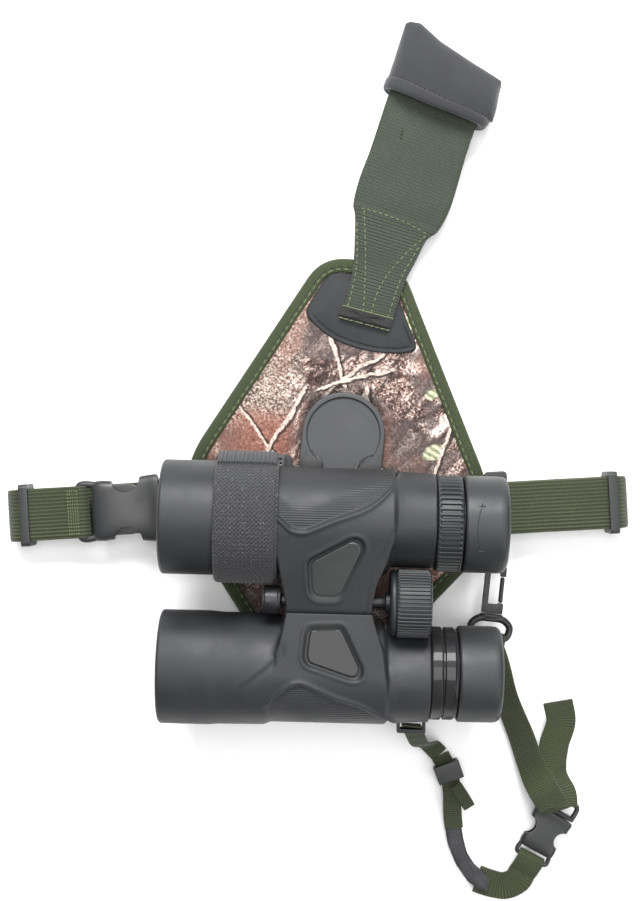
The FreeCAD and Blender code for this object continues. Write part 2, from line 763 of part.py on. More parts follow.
def slide(label, place, x):
    """Three-bar slide standing on edge: the front run passes its upper slot, the return
    run its lower slot."""
    body = new_body(label, place)
    sketch = sketch_on(body, "YZ_Plane", x - 2.2)
    rectangle(sketch, -15, 15, -14.2, 3.6)
    pad(body, sketch, 4.4)
    round_edges(body, 2, lambda e: is_upright(e, 0))
    for low, high in ((-1.6, 1.9), (-13.6, -11.4)):
        slot = sketch_on(body, "YZ_Plane", x + 2.2)
        rectangle(slot, -12.8, 12.8, low, high)
        pocket(body, slot, 4.4)
    return body


def build_belts():
    female_buckle("belt_buckle_female", LEFT_BELT, belt_scale)
    male_buckle("belt_buckle_male", LEFT_BELT, belt_scale)
    prong("belt_prong_front", LEFT_BELT, belt_scale, 1)
    prong("belt_prong_rear", LEFT_BELT, belt_scale, -1)
    fold_width = webbing_width - 0.2
    fold = webbing_end("left_belt_fold", LEFT_BELT, belt_scale, -18.4, -31, fold_width)
    fused("left_belt", [belt_run("left_run", LEFT_BELT, -31, -57, 80), fold])
    slide("left_slide", LEFT_BELT, -46)
    webbing_end("left_anchor_webbing", LEFT_BELT, belt_scale, 30.6, 58, fold_width, -2.0)
    ring = block("belt_ring", RIGHT_BELT, -5.5, 5.5, -18, 18, -1.6, 1.6)
    round_edges(ring, 2, is_upright)
    cut_window(ring, 1.6, 3.2, -2.6, 2.6, -15.2, 15.2)
    fold = webbing_end("right_belt_fold", RIGHT_BELT, ring_scale, 3.7, 12.3, fold_width)
    webbing_end("right_anchor_webbing", RIGHT_BELT, ring_scale, -3.7, -34.5, fold_width, -1.3)
    fused("right_belt", [belt_run("right_run", RIGHT_BELT, 13.3, 64, -58), fold])
    slide("right_slide", RIGHT_BELT, 56)


# ---------------------------------------------------------------- tether
def build_hook():
    link = DOC.addObject("Part::Torus", "tether_ring")
    link.Label = "tether_ring"
    link.Radius1 = 8.34
    link.Radius2 = 1.0
    link.Placement = Placement(Vector(80.35, -9.86, 14.5), Rotation(Vector(0, 1, 0), 90))
    FINISHED.append(link)
    place = Placement(Vector(80.1, 0, 14.5), Rotation())
    hook = block("hook_body", place, -5, 5, -38.5, -14, -2, 2)
    round_edges(hook, 3, upright_at(lambda p: p.y > -20))
    cut_window(hook, 2, 4, -2.4, 2.4, -34, -16.6)
    cut_window(hook, 2, 4, 2, 6, -33.4, -20.4)
    pivot = sketch_on(hook, "XZ_Plane", 38.6)
    circle(pivot, 0, 0, 1.7)
    bore = hook.newObject("PartDesign::Pocket", "swivel_bore")
    bore.Profile = pivot
    bore.setExpression("Length", "3.6")
    DOC.recompute()
    gate = block("hook_gate", place, 2.6, 4.6, -33.1, -20.7, -1.6, 1.6)
    round_edges(gate, 0.9, is_upright)
    eye = block("hook_eye", place, -9.5, 9.5, -52, -38.8, -2, 2)
    round_edges(eye, 3, is_upright)
    cut_window(eye, 2, 4, -7.8, 7.8, -48.6, -42)
    stem = sketch_on(eye, "XZ_Plane", 39)
    circle(stem, 0, 0, 1.6)
    post = eye.newObject("PartDesign::Pad", "stem")
    post.Profile = stem
    post.Reversed = True
    post.setExpression("Length", "3.4")
    DOC.recompute()


def build_tether():
    ribbon("tether_webbing", [
        (80.2, -53.4, 12.6, 1, 0, 0), (81.5, -57, 11.4, 1, 0.1, 0.05),
        (85.5, -65, 9.4, 0.85, 0.3, 0.35), (92, -79, 8.2, 0.7, 0.28, 0.66),
        (100.5, -95, 8.2, 0.72, 0.3, 0.62), (107.5, -110, 9.4, 0.75, 0.3, 0.5),
        (113.5, -120, 14, 0.85, 0.3, 0.1), (119.5, -128, 13.4, 0.92, -0.2, 0),
        (121.5, -131, 12.6, 0.92, -0.38, 0),
    ], tether_width, tether_thick)
    ribbon("tether_tail", [
        (124.8, -128.5, 13, 0.92, -0.38, 0), (123.6, -121.5, 10.9, 0.92, -0.38, 0),
        (118.5, -112, 7.6, 0.88, -0.45, 0), (118.2, -100, 7, 0.98, -0.1, 0),
        (120.2, -88.4, 8, 1, 0.15, 0), (117.3, -78.3, 10, 1, 0, 0),
    ], tether_width - 0.6, tether_thick)
    female_buckle("tether_buckle_female", TETHER, tether_scale)
    fused("tether_buckle_male", [
        male_buckle("tether_male_base", TETHER, tether_scale),
        prong("tether_prong_front", TETHER, tether_scale, 1, 22.4),
        prong("tether_prong_rear", TETHER, tether_scale, -1, 22.4),
    ])
    stub = webbing_end("stub_fold", TETHER, tether_scale, -18.4, -36, tether_width - 0.6, -2)
    sewn = ribbon("stub_run", [
        (109, -163.8, 7.4, 0.92, -0.38, 0), (107, -168, 6.8, 0.8, -0.6, 0),
        (101.5, -171.5, 6, 0.35, -0.93, 0), (91, -171, 5.6, 0, -1, 0),
    ], tether_width - 1.5, tether_thick)
    fused("tether_stub", [stub, sewn])
    leather = new_body("leather_tab")
    outline = sketch_on(leather, "XY_Plane", 1.6)
    polygon(outline, [
        (68.4, -141), (77, -142), (79, -150), (82, -158), (87, -164), (94, -168.5), (93.5, -176),
        (84, -172), (77, -164), (72, -154.5),
    ])
    pad(leather, outline, tether_thick + 0.8)
    ribbon("thin_webbing", [
        (74, -146, 4.8, 0.98, -0.2, 0), (72.6, -139, 4.8, 0.98, -0.15, 0),
        (71.3, -129, 4.6, 0.96, 0.2, 0), (68.6, -119, 4.4, 0.88, 0.45, 0),
        (63.6, -111.3, 4.6, 0.75, 0.66, 0),
    ], thin_width, thin_thick)
    place = Placement(Vector(68.4, -118.6, 4.8), Rotation(Vector(0, 0, 1), 26))
    keeper = block("thin_slide", place, -6.4, 6.4, -4.5, 4.5, -2.6, 3.4)
    opening = sketch_on(keeper, "XZ_Plane", 5)
    rectangle(opening, -5.1, 5.1, -1.7, 2)
    cut = keeper.newObject("PartDesign::Pocket", "opening")
    cut.Profile = opening
    cut.setExpression("Length", "10")
    DOC.recompute()
    ribbon("thin_end_tab", [
        (72.4, -124.6, 7.4, 0.8, 0.6, 0), (76, -129, 7, 0.8, 0.6, 0),
        (80.5, -135, 5.5, 0.8, 0.6, 0),
    ], thin_width - 3, thin_thick)
    ribbon("lug_loop", [
        (63.2, -110.7, 4.6, 0.75, 0.66, 0), (57.5, -106, 9, 0.9, 0.43, 0),
        (51.6, -103.4, 23, 1, 0.15, 0), (45.5, -92.4, 39, 1, 0.08, 0),
        (44.9, -91, 46, 1, 0.08, 0), (44.9, -90.6, 50.5, 1, 0.08, 0),
    ], thin_width, thin_thick)


# ---------------------------------------------------------------- build and export
def export_parts():
    DOC.recompute()
    for item in DOC.Objects:
        if "Invalid" in item.State or "Error" in item.State:
            raise RuntimeError("%s is %s" % (item.Label, item.State))
    os.makedirs("parts", exist_ok=True)
    for node in FINISHED:
        shape = node.Shape
        if shape.isNull() or not shape.isValid():
            raise RuntimeError("%s has no valid shape" % node.Label)
        if len(shape.Solids) != 1:
            raise RuntimeError("%s has %d solids" % (node.Label, len(shape.Solids)))
        shape.exportStep("parts/%s.step" % node.Label)
        box = shape.BoundBox
        print("%-24s %9.1f  x %7.1f %7.1f  y %7.1f %7.1f  z %6.1f %6.1f" % (
            node.Label, shape.Volume, box.XMin, box.XMax, box.YMin, box.YMax, box.ZMin, box.ZMax))


build_panel()
build_patch()
build_shoulder()
build_pad()
build_strap_anchor()
build_receptacle()
build_hub()
build_bracket()
build_upper_barrel()
build_lower_barrel()
build_necks()
build_optics()
build_hinge()
build_belts()
build_hook()
build_tether()
export_parts()
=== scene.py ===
import math

import bmesh
import bpy
import numpy as np
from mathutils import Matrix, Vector, noise


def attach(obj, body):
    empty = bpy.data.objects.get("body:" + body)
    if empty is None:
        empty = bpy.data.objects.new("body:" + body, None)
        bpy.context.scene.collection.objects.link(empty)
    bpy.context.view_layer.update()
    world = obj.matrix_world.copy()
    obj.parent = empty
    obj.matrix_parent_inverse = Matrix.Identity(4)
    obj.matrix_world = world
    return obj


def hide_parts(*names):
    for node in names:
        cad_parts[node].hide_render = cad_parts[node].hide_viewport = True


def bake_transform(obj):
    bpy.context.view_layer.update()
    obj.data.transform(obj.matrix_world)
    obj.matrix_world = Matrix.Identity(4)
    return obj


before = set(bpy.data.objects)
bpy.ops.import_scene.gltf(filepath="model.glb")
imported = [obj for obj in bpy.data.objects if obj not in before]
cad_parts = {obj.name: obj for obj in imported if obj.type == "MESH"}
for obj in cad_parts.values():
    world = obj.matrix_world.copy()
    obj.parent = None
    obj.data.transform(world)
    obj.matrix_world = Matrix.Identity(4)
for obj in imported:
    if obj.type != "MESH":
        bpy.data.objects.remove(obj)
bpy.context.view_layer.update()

# Looks of the binocular harness pack. Lengths are millimetres in the row frame, or in one of
# the local frames below, until make() turns them into vertices in metres.
MM = 0.001
FULL_TURN = 2 * math.pi


class Place:
    """A local frame of the CAD model: an origin and a turn about Z in degrees."""

    def __init__(self, x, y, z, degrees):
        turn = math.radians(degrees)
        c, s = math.cos(turn), math.sin(turn)
        self.origin = np.array([x, y, z], float)
        self.rows = np.array([[c, s, 0], [-s, c, 0], [0, 0, 1]])

    def __call__(self, points):
        return np.asarray(points, float) @ self.rows + self.origin


WORLD = Place(0, 0, 0, 0)
BINOCULAR = Place(0, 0, 0, 4.5)
LEFT_BELT = Place(-103.5, -7.5, 14.5, 9.5)
RIGHT_BELT = Place(77.5, 12, 14.5, 9)
TETHER = Place(117, -144.5, 8, 67.5)
PAD = Place(28, 201, 0, -16)
HOOK = Place(80.1, 0, 14.5, 0)
HOOK_LENGTHWISE = Place(80.1, 0, 14.5, 90)
UPPER_AXIS = (0.0, 57.0)
HINGE_AXIS = (-36.0, 63.0)
LOWER_AXIS = (-69.3, 48.0)


# ---------------------------------------------------------------- mesh helpers
def smoothstep(low, high, value):
    share = np.clip((value - low) / (high - low), 0, 1)
    return share * share * (3 - 2 * share)


def grid_faces(rows, columns, loop_rows=False, loop_columns=False):
    index = np.arange(rows * columns).reshape(rows, columns)
    if loop_rows:
        index = np.vstack([index, index[:1]])
    if loop_columns:
        index = np.hstack([index, index[:, :1]])
    quads = [index[:-1, :-1], index[1:, :-1], index[1:, 1:], index[:-1, 1:]]
    return np.stack(quads, -1).reshape(-1, 4).tolist()


def tube_faces(rows, columns):
    """Faces of a tube whose rings are the rows, closed at both ends."""
    ends = [list(range(columns)), list(range((rows - 1) * columns, rows * columns))]
    return grid_faces(rows, columns, loop_columns=True) + ends


def distances(points):
    """How far along an open line each of its points lies."""
    return np.concatenate([[0], np.cumsum(np.linalg.norm(np.diff(points, axis=0), axis=1))])


def tidy_mesh(mesh, sharp_degrees):
    """Outward normals, smooth faces, and hard edges only past sharp_degrees."""
    work = bmesh.new()
    work.from_mesh(mesh)
    bmesh.ops.recalc_face_normals(work, faces=work.faces)
    work.to_mesh(mesh)
    work.free()
    mesh.polygons.foreach_set("use_smooth", [True] * len(mesh.polygons))
    mesh.set_sharp_from_angle(angle=math.radians(sharp_degrees))


def make(name, points, faces, body, slot, replaced=(), sharp=180, weave=None):
    """A piece of the model in its slot's material, riding on a body if one is given."""
    mesh = bpy.data.meshes.new(name)
    mesh.from_pydata((np.asarray(points) * MM).tolist(), [], faces)
    if weave is not None:
        attribute = mesh.attributes.new("weave", "FLOAT_VECTOR", "POINT")
        attribute.data.foreach_set("vector", np.asarray(weave, np.float32).ravel())
    tidy_mesh(mesh, sharp)
    mesh.materials.append(MATERIALS[slot])
    piece = bpy.data.objects.new(name, mesh)
    bpy.context.scene.collection.objects.link(piece)
    if body:
        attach(piece, body)
    if replaced:
        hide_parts(*replaced)
    return piece


def soften(points, radius, steps=5):
    """A closed outline with each corner turned into a short curve."""
    points = np.asarray(points, float)
    out = []
    for before, corner, after in zip(np.roll(points, 1, 0), points, np.roll(points, -1, 0)):
        near = [before - corner, after - corner]
        sizes = [np.linalg.norm(v) for v in near]
        ends = [corner + v * min(radius, 0.49 * s) / s for v, s in zip(near, sizes)]
        for step in range(steps + 1):
            t = step / steps
            out.append((1 - t) ** 2 * ends[0] + 2 * t * (1 - t) * corner + t * t * ends[1])
    return np.array(out)


def even(points, count, closed=True):
    """The same line cut into count points of equal spacing."""
    points = np.asarray(points, float)
    if closed:
        points = np.vstack([points, points[:1]])
    gaps = np.linalg.norm(np.diff(points, axis=0), axis=1)
    keep = np.concatenate([[True], gaps > 1e-9])
    points = points[keep]
    far = np.concatenate([[0], np.cumsum(gaps[gaps > 1e-9])])
    at = np.linspace(0, far[-1], count + 1)[:-1] if closed else np.linspace(0, far[-1], count)
    return np.stack([np.interp(at, far, column) for column in points.T], 1)


def curved(points, per_span=16):
    """A Catmull-Rom curve through open points of any number of columns."""
    points = np.asarray(points, float)
    first, last = 2 * points[0] - points[1], 2 * points[-1] - points[-2]
    p = np.vstack([first, points, last])
    out = []
    for i in range(1, len(p) - 2):
        for t in np.linspace(0, 1, per_span, endpoint=False):
            a = 2 * p[i] + (p[i + 1] - p[i - 1]) * t
            b = (2 * p[i - 1] - 5 * p[i] + 4 * p[i + 1] - p[i + 2]) * t * t
            c = (3 * p[i] - p[i - 1] - 3 * p[i + 1] + p[i + 2]) * t ** 3
            out.append(0.5 * (a + b + c))
    return np.vstack([out, points[-1:]])


def gap_to(outline, x, y):
    """Distance of points inside (positive) or outside (negative) a closed outline."""
    px, py = np.ravel(x), np.ravel(y)
    nearest = np.full(px.shape, 1e9)
    inside = np.zeros(px.shape, bool)
    for (ax, ay), (bx, by) in zip(outline, np.roll(outline, -1, 0)):
        dx, dy = bx - ax, by - ay
        size = max(dx * dx + dy * dy, 1e-12)
        t = np.clip(((px - ax) * dx + (py - ay) * dy) / size, 0, 1)
        nearest = np.minimum(nearest, np.hypot(px - ax - t * dx, py - ay - t * dy))
        crosses = (ay > py) != (by > py)
        with np.errstate(divide="ignore", invalid="ignore"):
            where = ax + (py - ay) * dx / (dy if abs(dy) > 1e-12 else 1e-12)
        inside ^= crosses & (px < where)
    return np.where(inside, nearest, -nearest).reshape(np.shape(x))


def ripple(points, size, seed):
    """Smooth noise from -1 to 1 at points, with lumps about size across."""
    shift = Vector((seed * 13.7, seed * 7.1, seed * 3.3))
    return np.array([noise.noise(Vector(p) / size + shift) for p in points])


def drift_along(far, size, seed):
    """Smooth noise along a line, from the distances of its points."""
    return ripple(np.stack([far, far * 0, far * 0], 1), size, seed)


def puffed(name, outline, rings, height, body, slot, replaced=(), low=None, place=WORLD,
           sharp=60, middle=None):
    """A closed form over a flat outline: its top is height(gap to the edge, x, y)."""
    outline = np.asarray(outline, float)
    middle = outline.mean(0) if middle is None else np.array(middle)
    shares = 1 - np.linspace(0, 1, rings) ** 1.25 * 0.985
    flat = middle + (outline - middle)[None] * shares[:, None, None]
    gaps = gap_to(outline, flat[..., 0], flat[..., 1])
    gaps[0] = 0
    top = np.dstack([flat, height(gaps, flat[..., 0], flat[..., 1])])
    under = low if callable(low) else (lambda gap, x, y: np.full(x.shape, float(low)))
    base = np.dstack([flat, under(gaps, flat[..., 0], flat[..., 1])])
    points = np.vstack([top[::-1].reshape(-1, 3), base.reshape(-1, 3)])
    count = len(outline)
    faces = tube_faces(2 * rings, count)
    return make(name, place(points), faces, body, slot, replaced, sharp, points)


def turned(name, profile, axis, body, slot, replaced=(), segments=128, dent=None, sharp=35):
    """A closed (along, radius) profile turned about an axis of the binoculars."""
    profile = np.asarray(profile, float)
    angles = np.linspace(0, FULL_TURN, segments, endpoint=False)
    x, angle = np.meshgrid(profile[:, 0], angles, indexing="ij")
    radius = np.repeat(profile[:, 1:2], segments, 1)
    if dent is not None:
        radius = radius - dent(x, angle, radius)
    points = np.dstack([x, axis[0] - radius * np.sin(angle), axis[1] + radius * np.cos(angle)])
    faces = grid_faces(len(profile), segments, True, True)
    weave = np.dstack([angle * radius, x, radius]).reshape(-1, 3)
    return make(name, BINOCULAR(points.reshape(-1, 3)), faces, body, slot, replaced, sharp, weave)


def strap(name, stations, thick, body, slot, replaced=(), place=WORLD, ribs=(1.5, 0.1),
          ridges=(1.8, 0.0), step=0.4, columns=30, wander=0.25, seed=1):
    """A woven strap through stations (x, y, z, width, and the direction across it)."""
    line = curved(stations)
    length = distances(line[:, :3])[-1]
    line = even(line, max(12, int(length / step)), closed=False)
    along = distances(line[:, :3])
    tangent = np.gradient(line[:, :3], axis=0)
    tangent /= np.linalg.norm(tangent, axis=1)[:, None]
    across = line[:, 4:7] - tangent * (line[:, 4:7] * tangent).sum(1)[:, None]
    across /= np.linalg.norm(across, axis=1)[:, None]
    up = np.cross(across, tangent)
    share = np.sin(np.linspace(-0.5, 0.5, columns) * math.pi)
    share = 0.35 * share + 0.65 * np.linspace(-1, 1, columns)
    loop = np.concatenate([share, share[-2:0:-1]])
    side = np.concatenate([np.ones(columns), -np.ones(columns - 2)])
    half_thick = thick / 2 * (0.25 + 0.75 * (1 - np.abs(loop) ** 10) ** 0.5)
    u = loop[None, :] * line[:, 3:4] / 2
    v = np.repeat(along[:, None], len(loop), 1)
    weave_height = ribs[1] * np.cos(FULL_TURN * v / ribs[0])
    weave_height += ridges[1] * np.cos(FULL_TURN * u / ridges[0])
    edge = 1 - smoothstep(0.93, 1.0, np.abs(loop))[None, :]
    lift = side * (half_thick + weave_height * edge)
    drift = wander * drift_along(along, 9.0, seed)
    grid = line[:, None, :3] + across[:, None] * (u + drift[:, None] * 0.3)[..., None]
    grid = grid + up[:, None] * (lift + drift[:, None] * 0.25)[..., None]
    rows, count = grid.shape[:2]
    faces = tube_faces(rows, count)
    weave = np.dstack([u, v, side * np.ones_like(u)]).reshape(-1, 3)
    return make(name, place(grid.reshape(-1, 3)), faces, body, slot, replaced, 70, weave)


def stitches(name, lines, body, slot, pitch, length, radius, place=WORLD, thread=None):
    """Thread lying along lines in short beads, each sinking into the cloth at its ends."""
    rings, sides = 5, 6
    points, faces = [], []
    share = np.linspace(-1, 1, rings)
    swell = np.sqrt(1 - 0.92 * share ** 2)
    turn = np.linspace(0, FULL_TURN, sides, endpoint=False)
    for line in lines:
        line = np.asarray(line, float)
        size = np.linalg.norm(np.diff(line, axis=0), axis=1).sum()
        spots = even(line, max(2, int(size / pitch)) * 2 + 1, closed=False)
        for here, there in zip(spots[0:-2:2], spots[2::2]):
            way = (there - here) / max(np.linalg.norm(there - here), 1e-9)
            middle = (here + there) / 2
            wide = np.cross(way, [0, 0, 1.0])
            wide /= max(np.linalg.norm(wide), 1e-9)
            up = np.cross(wide, way)
            start = len(points)
            for s, w in zip(share, swell):
                for a in turn:
                    ring = wide * math.cos(a) + up * math.sin(a)
                    points.append(middle + way * s * length / 2 + ring * radius * w)
            faces += [[start + i for i in face] for face in tube_faces(rings, sides)]
    piece = make(name, place(points), faces, body, slot)
    if thread:
        piece.data.materials[0] = thread


def moulded(node, body, slot, radius, segments=2, sharp=40, limit=28):
    """The CAD node with its edges rounded, as a moulding or casting has them."""
    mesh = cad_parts[node].data.copy()
    mesh.name = node + "_moulded"
    work = bmesh.new()
    work.from_mesh(mesh)
    bmesh.ops.remove_doubles(work, verts=work.verts, dist=1e-6)
    bmesh.ops.dissolve_limit(work, angle_limit=math.radians(1.0), verts=work.verts,
                             edges=work.edges)
    hard = [e for e in work.edges if len(e.link_faces) == 2
            and e.calc_face_angle(0) > math.radians(limit)]
    bmesh.ops.bevel(work, geom=hard, offset=radius * MM, segments=segments, profile=0.6,
                    affect="EDGES", clamp_overlap=True)
    bmesh.ops.triangulate(work, faces=[f for f in work.faces if len(f.verts) > 4])
    work.to_mesh(mesh)
    work.free()
    mesh.polygons.foreach_set("use_smooth", [True] * len(mesh.polygons))
    mesh.set_sharp_from_angle(angle=math.radians(sharp))
    mesh.materials.clear()
    mesh.materials.append(MATERIALS[slot])
    piece = bpy.data.objects.new(node + "_moulded", mesh)
    bpy.context.scene.collection.objects.link(piece)
    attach(piece, body)
    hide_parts(node)
    return piece


# ---------------------------------------------------------------- camera, floor and light
CAMERA_PLACE = (-0.0105, 0.031, 0.74)
HALF_VIEW = 16.70


def build_camera():
    camera = bpy.data.objects.new("camera", bpy.data.cameras.new("camera"))
    bpy.context.scene.collection.objects.link(camera)
    camera.location = CAMERA_PLACE
    camera.rotation_euler = (0, 0, math.radians(6))
    camera.data.sensor_fit = "AUTO"
    camera.data.sensor_width = 36
    camera.data.lens = camera.data.sensor_width / 2 / math.tan(math.radians(HALF_VIEW))
    camera.data.clip_start, camera.data.clip_end = 0.01, 20
    bpy.context.scene.camera = camera


def area_light(name, place, target, size, power):
    light = bpy.data.lights.new(name, "AREA")
    light.shape = "RECTANGLE"
    light.size, light.size_y = size
    light.energy = power
    lamp = bpy.data.objects.new(name, light)
    bpy.context.scene.collection.objects.link(lamp)
    lamp.location = place
    aim = Vector(target) - Vector(place)
    lamp.rotation_euler = aim.to_track_quat("-Z", "Y").to_euler()


def build_stage():
    reach = 3.0
    mesh = bpy.data.meshes.new("floor")
    corners = [(-reach, -reach), (reach, -reach), (reach, reach), (-reach, reach)]
    mesh.from_pydata([(x, y, -0.0004) for x, y in corners], [], [(0, 1, 2, 3)])
    floor = bpy.data.objects.new("floor", mesh)
    bpy.context.scene.collection.objects.link(floor)
    paper = bpy.data.materials.new("paper")
    paper.use_nodes = True
    shader = paper.node_tree.nodes["Principled BSDF"]
    shader.inputs["Base Color"].default_value = (0.985, 0.985, 0.985, 1)
    shader.inputs["Roughness"].default_value = 0.9
    mesh.materials.append(paper)
    world = bpy.data.worlds.new("studio")
    bpy.context.scene.world = world
    world.use_nodes = True
    background = world.node_tree.nodes["Background"]
    background.inputs["Color"].default_value = (1, 1, 1, 1)
    background.inputs["Strength"].default_value = 0.42
    bpy.context.scene.view_settings.view_transform = "Standard"
    area_light("key", (-0.15, 0.95, 0.95), (0, 0, 0.03), (0.9, 0.5), 30)
    area_light("fill", (0.7, -0.5, 0.9), (0, 0, 0.03), (0.8, 0.8), 5)
    area_light("top", (0.0, 0.1, 1.3), (0, 0, 0.0), (0.7, 0.7), 9)


# ---------------------------------------------------------------- materials
class Paint:
    """A procedural material, built from the shader backwards."""

    def __init__(self, name, roughness=0.6, metallic=0.0, specular=0.5, sheen=0.0, coat=0.0):
        self.material = bpy.data.materials.new(name)
        self.material.use_nodes = True
        self.tree = self.material.node_tree
        self.shader = self.tree.nodes["Principled BSDF"]
        self.shader.inputs["Metallic"].default_value = metallic
        self.shader.inputs["Specular IOR Level"].default_value = specular
        self.shader.inputs["Sheen Weight"].default_value = sheen
        self.shader.inputs["Coat Weight"].default_value = coat
        self.shader.inputs["Roughness"].default_value = roughness
        self.last_bump = None

    def node(self, kind, inputs=(), **settings):
        made = self.tree.nodes.new("ShaderNode" + kind)
        for key, value in settings.items():
            setattr(made, key, value)
        for key, value in dict(inputs).items():
            self.feed(made.inputs[key], value)
        return made

    def feed(self, socket, value):
        if isinstance(value, bpy.types.NodeSocket):
            self.tree.links.new(value, socket)
        elif hasattr(socket.default_value, "__len__") and len(socket.default_value) == 4:
            socket.default_value = (*value[:3], 1)
        else:
            socket.default_value = value

    def place(self, stretch=(1, 1, 1), turn=0.0):
        """Where the surface is, in millimetres, turned and stretched."""
        where = self.node("TexCoord").outputs["Object"]
        scale = [1000 * s for s in stretch]
        spin = self.node("Mapping", {"Vector": where, "Rotation": (0, 0, turn)})
        return self.node("Mapping", {"Vector": spin.outputs[0], "Scale": scale}).outputs[0]

    def weave(self):
        return self.node("Attribute", attribute_name="weave").outputs["Vector"]

    def split(self, vector):
        return self.node("SeparateXYZ", {"Vector": vector}).outputs

    def noise(self, where, scale, detail=4.0, rough=0.55, warp=0.0):
        feeds = {"Vector": where, "Scale": scale, "Detail": detail, "Roughness": rough,
                 "Distortion": warp}
        return self.node("TexNoise", feeds).outputs["Fac"]

    def cells(self, where, scale, feature="F1", output="Distance"):
        feeds = {"Vector": where, "Scale": scale}
        return self.node("TexVoronoi", feeds, feature=feature).outputs[output]

    def maths(self, operation, first, second=0.0, third=0.0, clamp=False):
        return self.node("Math", {0: first, 1: second, 2: third}, operation=operation,
                         use_clamp=clamp).outputs[0]

    def fade(self, value, low, high, to_low=0.0, to_high=1.0):
        feeds = {"Value": value, "From Min": low, "From Max": high, "To Min": to_low,
                 "To Max": to_high}
        return self.node("MapRange", feeds, interpolation_type="SMOOTHSTEP").outputs[0]

    def ramp(self, value, stops):
        made = self.node("ValToRGB", {"Fac": value})
        elements = made.color_ramp.elements
        while len(elements) < len(stops):
            elements.new(0.5)
        for element, (at, colour) in zip(elements, stops):
            element.position = at
            element.color = (*colour, 1)
        return made.outputs["Color"]

    def mix(self, share, first, second, blend="MIX"):
        made = self.node("Mix", data_type="RGBA", blend_type=blend)
        self.feed(made.inputs[0], share)
        self.feed(made.inputs[6], first)
        self.feed(made.inputs[7], second)
        return made.outputs[2]

    def wave(self, value, pitch):
        """0 to 1 and back once every pitch."""
        turns = self.maths("MULTIPLY", value, FULL_TURN / pitch)
        return self.maths("MULTIPLY_ADD", self.maths("COSINE", turns), 0.5, 0.5)

    def bump(self, height, depth):
        """Relief of depth millimetres, on top of any relief added before."""
        made = self.node("Bump", {"Height": height, "Distance": depth * MM, "Strength": 1.0})
        if self.last_bump is not None:
            self.feed(made.inputs["Normal"], self.last_bump)
        self.last_bump = made.outputs[0]
        self.feed(self.shader.inputs["Normal"], self.last_bump)

    def finish(self, colour, roughness=None):
        self.feed(self.shader.inputs["Base Color"], colour)
        if roughness is not None:
            self.feed(self.shader.inputs["Roughness"], roughness)
        return self.material


def moulded_paint(name, dark, light, rough=(0.42, 0.6), grain=2.2, depth=0.02, specular=0.5,
                  coat=0.0):
    """Moulded plastic or rubber: fine grain, faint mottling, dust and rubbed patches."""
    paint = Paint(name, specular=specular, coat=coat)
    where = paint.place()
    broad = paint.noise(where, 0.045, 5)
    fine = paint.noise(where, 0.9, 3)
    mottle = paint.maths("MULTIPLY_ADD", fine, 0.35, paint.maths("MULTIPLY", broad, 0.65))
    colour = paint.ramp(mottle, [(0.3, dark), (0.7, light)])
    dust = paint.fade(paint.noise(where, 3.2, 2), 0.66, 0.8, 0, 0.35)
    colour = paint.mix(dust, colour, [min(1, 1.5 * c + 0.01) for c in light])
    paint.bump(paint.noise(where, grain, 3), depth)
    paint.bump(paint.noise(where, 0.08, 3), 0.05)
    return paint.finish(colour, paint.fade(broad, 0.3, 0.7, rough[0], rough[1]))


def armour_paint():
    """Rubber armour: matt and finely grained, with fine lines moulded into the grips."""
    paint = Paint("armour", specular=0.42)
    parts = paint.split(paint.weave())
    lines = paint.maths("MULTIPLY", paint.wave(parts[0], 1.05), parts[2])
    where = paint.place()
    broad = paint.noise(where, 0.04, 5)
    fine = paint.noise(where, 1.1, 3)
    scuff = paint.noise(paint.place((1, 5, 1), 0.6), 0.12, 5, 0.7)
    mottle = paint.maths("MULTIPLY_ADD", fine, 0.3, paint.maths("MULTIPLY", broad, 0.7))
    colour = paint.ramp(mottle, [(0.3, (0.010, 0.0105, 0.012)), (0.7, (0.019, 0.020, 0.0225))])
    colour = paint.mix(paint.fade(scuff, 0.62, 0.8, 0, 0.3), colour, (0.036, 0.037, 0.04))
    paint.bump(lines, 0.18)
    paint.bump(paint.noise(where, 2.6, 3), 0.035)
    paint.bump(broad, 0.2)
    return paint.finish(colour, paint.fade(broad, 0.3, 0.7, 0.46, 0.62))


def webbing_paint(name, shade, body, crest_highlight, across=1.0, along=1.5, ridge=None, depth=0.12):
    """Woven nylon: weft rows along the strap, warp yarns across it. The colour follows the yarn
    relief: painted shade in the hollows, a painted highlight on the crests.
    """
    paint = Paint(name, roughness=0.72, specular=0.35, sheen=0.12)
    parts = paint.split(paint.weave())
    row, column = paint.wave(parts[1], along), paint.wave(parts[0], across)
    offset = paint.maths("MULTIPLY", paint.maths("FLOOR", paint.maths(
        "DIVIDE", parts[1], along)), across / 2)
    checker = paint.wave(paint.maths("ADD", parts[0], offset), across)
    yarn = paint.maths("MULTIPLY", row, paint.maths("MULTIPLY_ADD", checker, 0.75, 0.25))
    if ridge:
        rope = paint.wave(parts[0], ridge)
        yarn = paint.maths("ADD", paint.maths("MULTIPLY", yarn, 0.45),
                           paint.maths("MULTIPLY", rope, 0.55))
    where = paint.place()
    worn = paint.noise(where, 0.05, 4)
    fuzz = paint.noise(where, 1.6, 3)
    tone = paint.maths("MULTIPLY_ADD", fuzz, 0.5, paint.maths("MULTIPLY", yarn, 0.75))
    # painted shade in the hollows between the yarns and a painted highlight on their crests
    colour = paint.ramp(tone, [(0.18, shade), (0.5, body), (0.95, crest_highlight)])
    colour = paint.mix(paint.fade(worn, 0.35, 0.7, 0.0, 0.3), colour,
                       [0.75 * c for c in body])
    paint.bump(yarn, depth)
    paint.bump(fuzz, 0.06)
    paint.bump(column, depth * 0.3)
    return paint.finish(colour)


